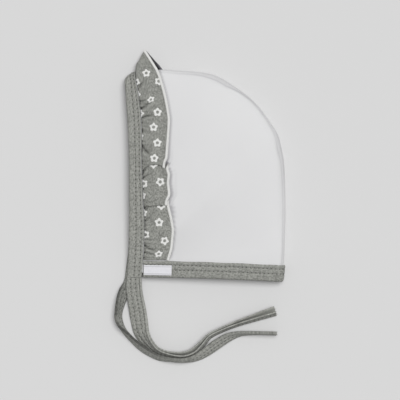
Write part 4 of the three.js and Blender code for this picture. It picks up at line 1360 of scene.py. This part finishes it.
class BONNET_OT_bindings(bpy.types.Operator):
    """Makes the folded bindings round the face and the neck"""

    bl_idname = "bonnet.bindings"
    bl_label = "Bindings"

    def execute(self, context):
        stations = round_edge(0, 150, 41)
        x, y = folded_profile(FACE_BAND_WIDTH, FACE_ROWS)
        wide = FACE_BAND_WIDTH * face_wide(stations)[:, None]
        past = np.clip((x - PANEL_INSET) / (FACE_BAND_WIDTH - PANEL_INSET), 0, 1)
        across = np.where(x <= PANEL_INSET, x, mixed(PANEL_INSET, wide, past))
        across = across + 0.12 * np.sin(stations * 31)[:, None] * smooth(x, 6, 11)
        sections = off_skin(face_skin, across, stations[:, None], y)
        painted_shade = band_painted_shade(x, FACE_BAND_WIDTH, stations)
        face = swept("face_binding_cloth", sections, x, made("grey_knit_face"), painted_shade)
        stations = round_edge(past_face_band(CLEARANCE), 120, 41)
        x, y = folded_profile(NECK_BAND_WIDTH, NECK_ROWS)
        across = x + 0.12 * np.sin(stations * 27)[:, None] * smooth(x, 6, 12)
        sections = off_skin(neck_skin, across, stations[:, None], y, True)
        painted_shade = band_painted_shade(x, NECK_BAND_WIDTH, stations)
        neck = swept("neck_binding_cloth", sections, x, made("grey_knit_neck"), painted_shade)
        belongs(face, "face_binding")
        belongs(neck, "neck_binding")
        return {"FINISHED"}


class BONNET_OT_stitching(bpy.types.Operator):
    """Lays the stitch rows along both bindings"""

    bl_idname = "bonnet.stitching"
    bl_label = "Binding stitches"

    def execute(self, context):
        sizes = context.scene.bonnet_stitches
        off = BAND_HALF - THREAD_SINK
        along = round_edge(0.004, 160, 60)
        wide = FACE_BAND_WIDTH * face_wide(along)
        rows = []
        for row in FACE_ROWS:
            past = (row - PANEL_INSET) / (FACE_BAND_WIDTH - PANEL_INSET)
            rows.append(row_on(face_skin, mixed(PANEL_INSET, wide, past), along, off))
        face = seam_rows("face_binding_stitches", rows, sizes)
        along = round_edge(past_face_band(1.2), 140, 60)
        rows = [row_on(neck_skin, row, along, off, True) for row in NECK_ROWS]
        neck = seam_rows("neck_binding_stitches", rows, sizes)
        for piece in (*face, *neck):
            belongs(piece)
        return {"FINISHED"}


def flower_layer(piece, stations, columns):
    """Gives each face its place relative to the flower nearest to it. A flower that a fold hides in part
    lies on the lower cloth of the fold."""
    mesh = piece.data
    table = np.array([(*row, np.inf) for row in FLOWERS] + list(HIDDEN_FLOWERS))
    middles, ends = table[:, :2], table[:, 5]
    numbers = point_numbers(mesh)
    places = points_of(mesh)[numbers, :2]
    counts = np.zeros(len(mesh.polygons), int)
    mesh.polygons.foreach_get("loop_total", counts)
    firsts = np.cumsum(counts) - counts
    owner = np.repeat(np.arange(len(counts)), counts)
    centres = np.add.reduceat(places, firsts, axis=0) / counts[:, None]
    gap = np.linalg.norm(centres[:, None] - middles, axis=-1)
    row = numbers[firsts] % (len(stations) * columns) // columns
    over = (stations[row, 4] > 0.5)[:, None] | (centres[:, 1:] > ends)
    gap = np.where(np.isfinite(ends) & over, 1e6, gap)
    flower = table[gap.argmin(1)[owner]]
    across, up = (places - flower[:, :2]).T
    turn = np.radians(flower[:, 3])
    size = FLOWER_RADIUS * flower[:, 2]
    u = (across * np.cos(turn) + up * np.sin(turn)) / size
    v = (up * np.cos(turn) - across * np.sin(turn)) / (size * flower[:, 4])
    placed = np.stack([u, v], -1)
    wrong_side = np.zeros(len(mesh.polygons), int)
    mesh.polygons.foreach_get("material_index", wrong_side)
    placed[((gap.min(1) > 2 * FLOWER_RADIUS) | (wrong_side == 1))[owner]] = NO_FLOWER
    layer = mesh.uv_layers.new(name="flower")
    layer.data.foreach_set("uv", placed.astype(np.float32).ravel())


def knee_shade(x, y):
    """Painted shade on the frill's edging where it comes out from under the upper fold."""
    return 0.75 * bump(x, FOLD_KNEE[0], 1.5) * bump(y, FOLD_KNEE[1], 1.8)


class BONNET_OT_frill(bpy.types.Operator):
    """Makes the gathered frill and its edging"""

    bl_idname = "bonnet.frill"
    bl_label = "Frill"

    def execute(self, context):
        sizes = context.scene.bonnet_stitches
        stations = frill_stations(420)
        across = np.linspace(0, 1 - 0.4 * EDGING_WIDTH / FRILL_WIDTH, 56)
        grid = frill_cloth(stations, across)
        frill = cloth_shell(
            "frill_cloth", grid, FRILL_LEAF, made("printed_knit"), (1, 1, 0, 0), made("wrong_side_knit"),
            frill_painted_shade(stations, across, grid),
        )
        flower_layer(frill, stations, len(across))
        edge = 1 - 0.5 * EDGING_WIDTH / FRILL_WIDTH
        middle, inner = frill_cloth(stations, [edge, edge - 0.04]).transpose(1, 0, 2)
        onwards = unit(np.gradient(middle, axis=0))
        outwards = middle - inner
        outwards -= onwards * np.sum(outwards * onwards, 1)[:, None]
        outwards = unit(outwards)
        up = np.cross(outwards, onwards)
        around = np.linspace(0, 2 * np.pi, 15)[:-1]
        wide = (0.15 + 0.58 * EDGING_WIDTH * np.cos(around))[:, None]
        high = (0.5 * np.sin(around))[:, None]
        sections = middle[:, None] + wide * outwards[:, None] + high * up[:, None]
        # Painted shade on the edging roll on the far side past the peak, and where it comes out from under
        # the upper fold
        past_peak = smooth(stations[:, 0], 2.0, 2.1) * (1 - smooth(stations[:, 0], 3.05, 3.2))
        shade = (past_peak + knee_shade(middle[:, 0], middle[:, 1]))[:, None] + 0 * around
        edging = swept("frill_edging_roll", sections, around, made("edging_roll"), shade)
        stitch = (1.24 * EDGING_WIDTH * MM, sizes.overlock_thickness, sizes.overlock_thickness)
        lean = math.radians(78)
        threads = []
        for name, side, finish in (("stitches", 1, "pale_thread"), ("loops", -1, "lilac_thread")):
            row = (in_frame(middle + side * up * 0.42 + outwards * 0.15), side * up)
            made_of = made(finish)
            piece = stitch_line("frill_edging_" + name, [row], made_of, sizes.overlock_pitch, stitch, lean)
            x, y = points_of(piece.data)[:, :2].T
            # Painted shade on the edging's threads by the fold, and on the loops in the peak's shade
            give_painted_shade(piece.data, knee_shade(x, y) + (peak_shade(x, y) if side < 0 else 0))
            threads.append(piece)
        belongs(frill, "frill")
        belongs(edging, "frill_edging")
        for piece in threads:
            belongs(piece)
        return {"FINISHED"}


class BONNET_OT_label(bpy.types.Operator):
    """Makes the small bare woven label"""

    bl_idname = "bonnet.label"
    bl_label = "Label"

    def execute(self, context):
        start = face_edge(LABEL_WIDTH) + FACE_BAND_WIDTH + LABEL_START
        run = np.linspace(0, 1, 60)[:, None]
        rise = np.linspace(0, 1, 24)
        along = (start + 0.4 + (LABEL_LENGTH + 0.5) * run) / BACK_SPAN
        up = LABEL_RISE - 1.2 + (LABEL_WIDTH + 0.5) * rise
        off = BAND_HALF + CLEARANCE + LABEL_WALL / 2
        lift = 0.12 * np.sin(np.pi * run) + 0.08 * np.sin(run * 9) * rise
        grid = off_skin(neck_skin, up, along, off + lift, True)
        label = cloth_shell("label_tape", grid, LABEL_WALL, made("woven_tape"))
        ends = (start + 1.2, start + LABEL_LENGTH - 0.1)
        up = np.linspace(LABEL_RISE - 0.7, LABEL_RISE + LABEL_WIDTH - 1.2, 20)
        rows = [row_on(neck_skin, up, end / BACK_SPAN, off + 0.3, True) for end in ends]
        stitch = (0.0013, 0.00028, 0.00022)
        threads = stitch_line("label_stitches", rows, made("pale_thread"), 0.0016, stitch)
        belongs(label, "label")
        belongs(threads)
        return {"FINISHED"}


class BONNET_PT_pieces(bpy.types.Panel):
    """Lists the bonnet's pieces and sizes"""

    bl_idname = "BONNET_PT_pieces"
    bl_label = "Baby bonnet"
    bl_space_type = "VIEW_3D"
    bl_region_type = "UI"
    bl_category = "Bonnet"

    def draw(self, context):
        layout = self.layout
        for operator in OPERATORS:
            layout.operator(operator.bl_idname)
        for group in GROUPS:
            box = layout.box()
            owner = getattr(context.scene, GROUPS[group])
            for key in group.__annotations__:
                box.prop(owner, key)


OPERATORS = (
    BONNET_OT_finishes,
    BONNET_OT_stage,
    BONNET_OT_ties,
    BONNET_OT_panels,
    BONNET_OT_bindings,
    BONNET_OT_stitching,
    BONNET_OT_frill,
    BONNET_OT_label,
)
GROUPS = {
    BonnetCloth: "bonnet_cloth",
    BonnetStitches: "bonnet_stitches",
    BonnetColours: "bonnet_colours",
    BonnetStage: "bonnet_stage",
}


def register():
    for group, name in GROUPS.items():
        bpy.utils.register_class(group)
        setattr(bpy.types.Scene, name, bpy.props.PointerProperty(type=group))
    for operator in OPERATORS:
        bpy.utils.register_class(operator)
    bpy.utils.register_class(BONNET_PT_pieces)


def unregister():
    bpy.utils.unregister_class(BONNET_PT_pieces)
    for operator in reversed(OPERATORS):
        bpy.utils.unregister_class(operator)
    for group, name in GROUPS.items():
        delattr(bpy.types.Scene, name)
        bpy.utils.unregister_class(group)


def main():
    register()
    bpy.ops.bonnet.finishes()
    bpy.ops.bonnet.stage()
    bpy.ops.bonnet.ties()
    bpy.ops.bonnet.panels()
    bpy.ops.bonnet.bindings()
    bpy.ops.bonnet.stitching()
    bpy.ops.bonnet.frill()
    bpy.ops.bonnet.label()


if __name__ == "__main__":
    main()
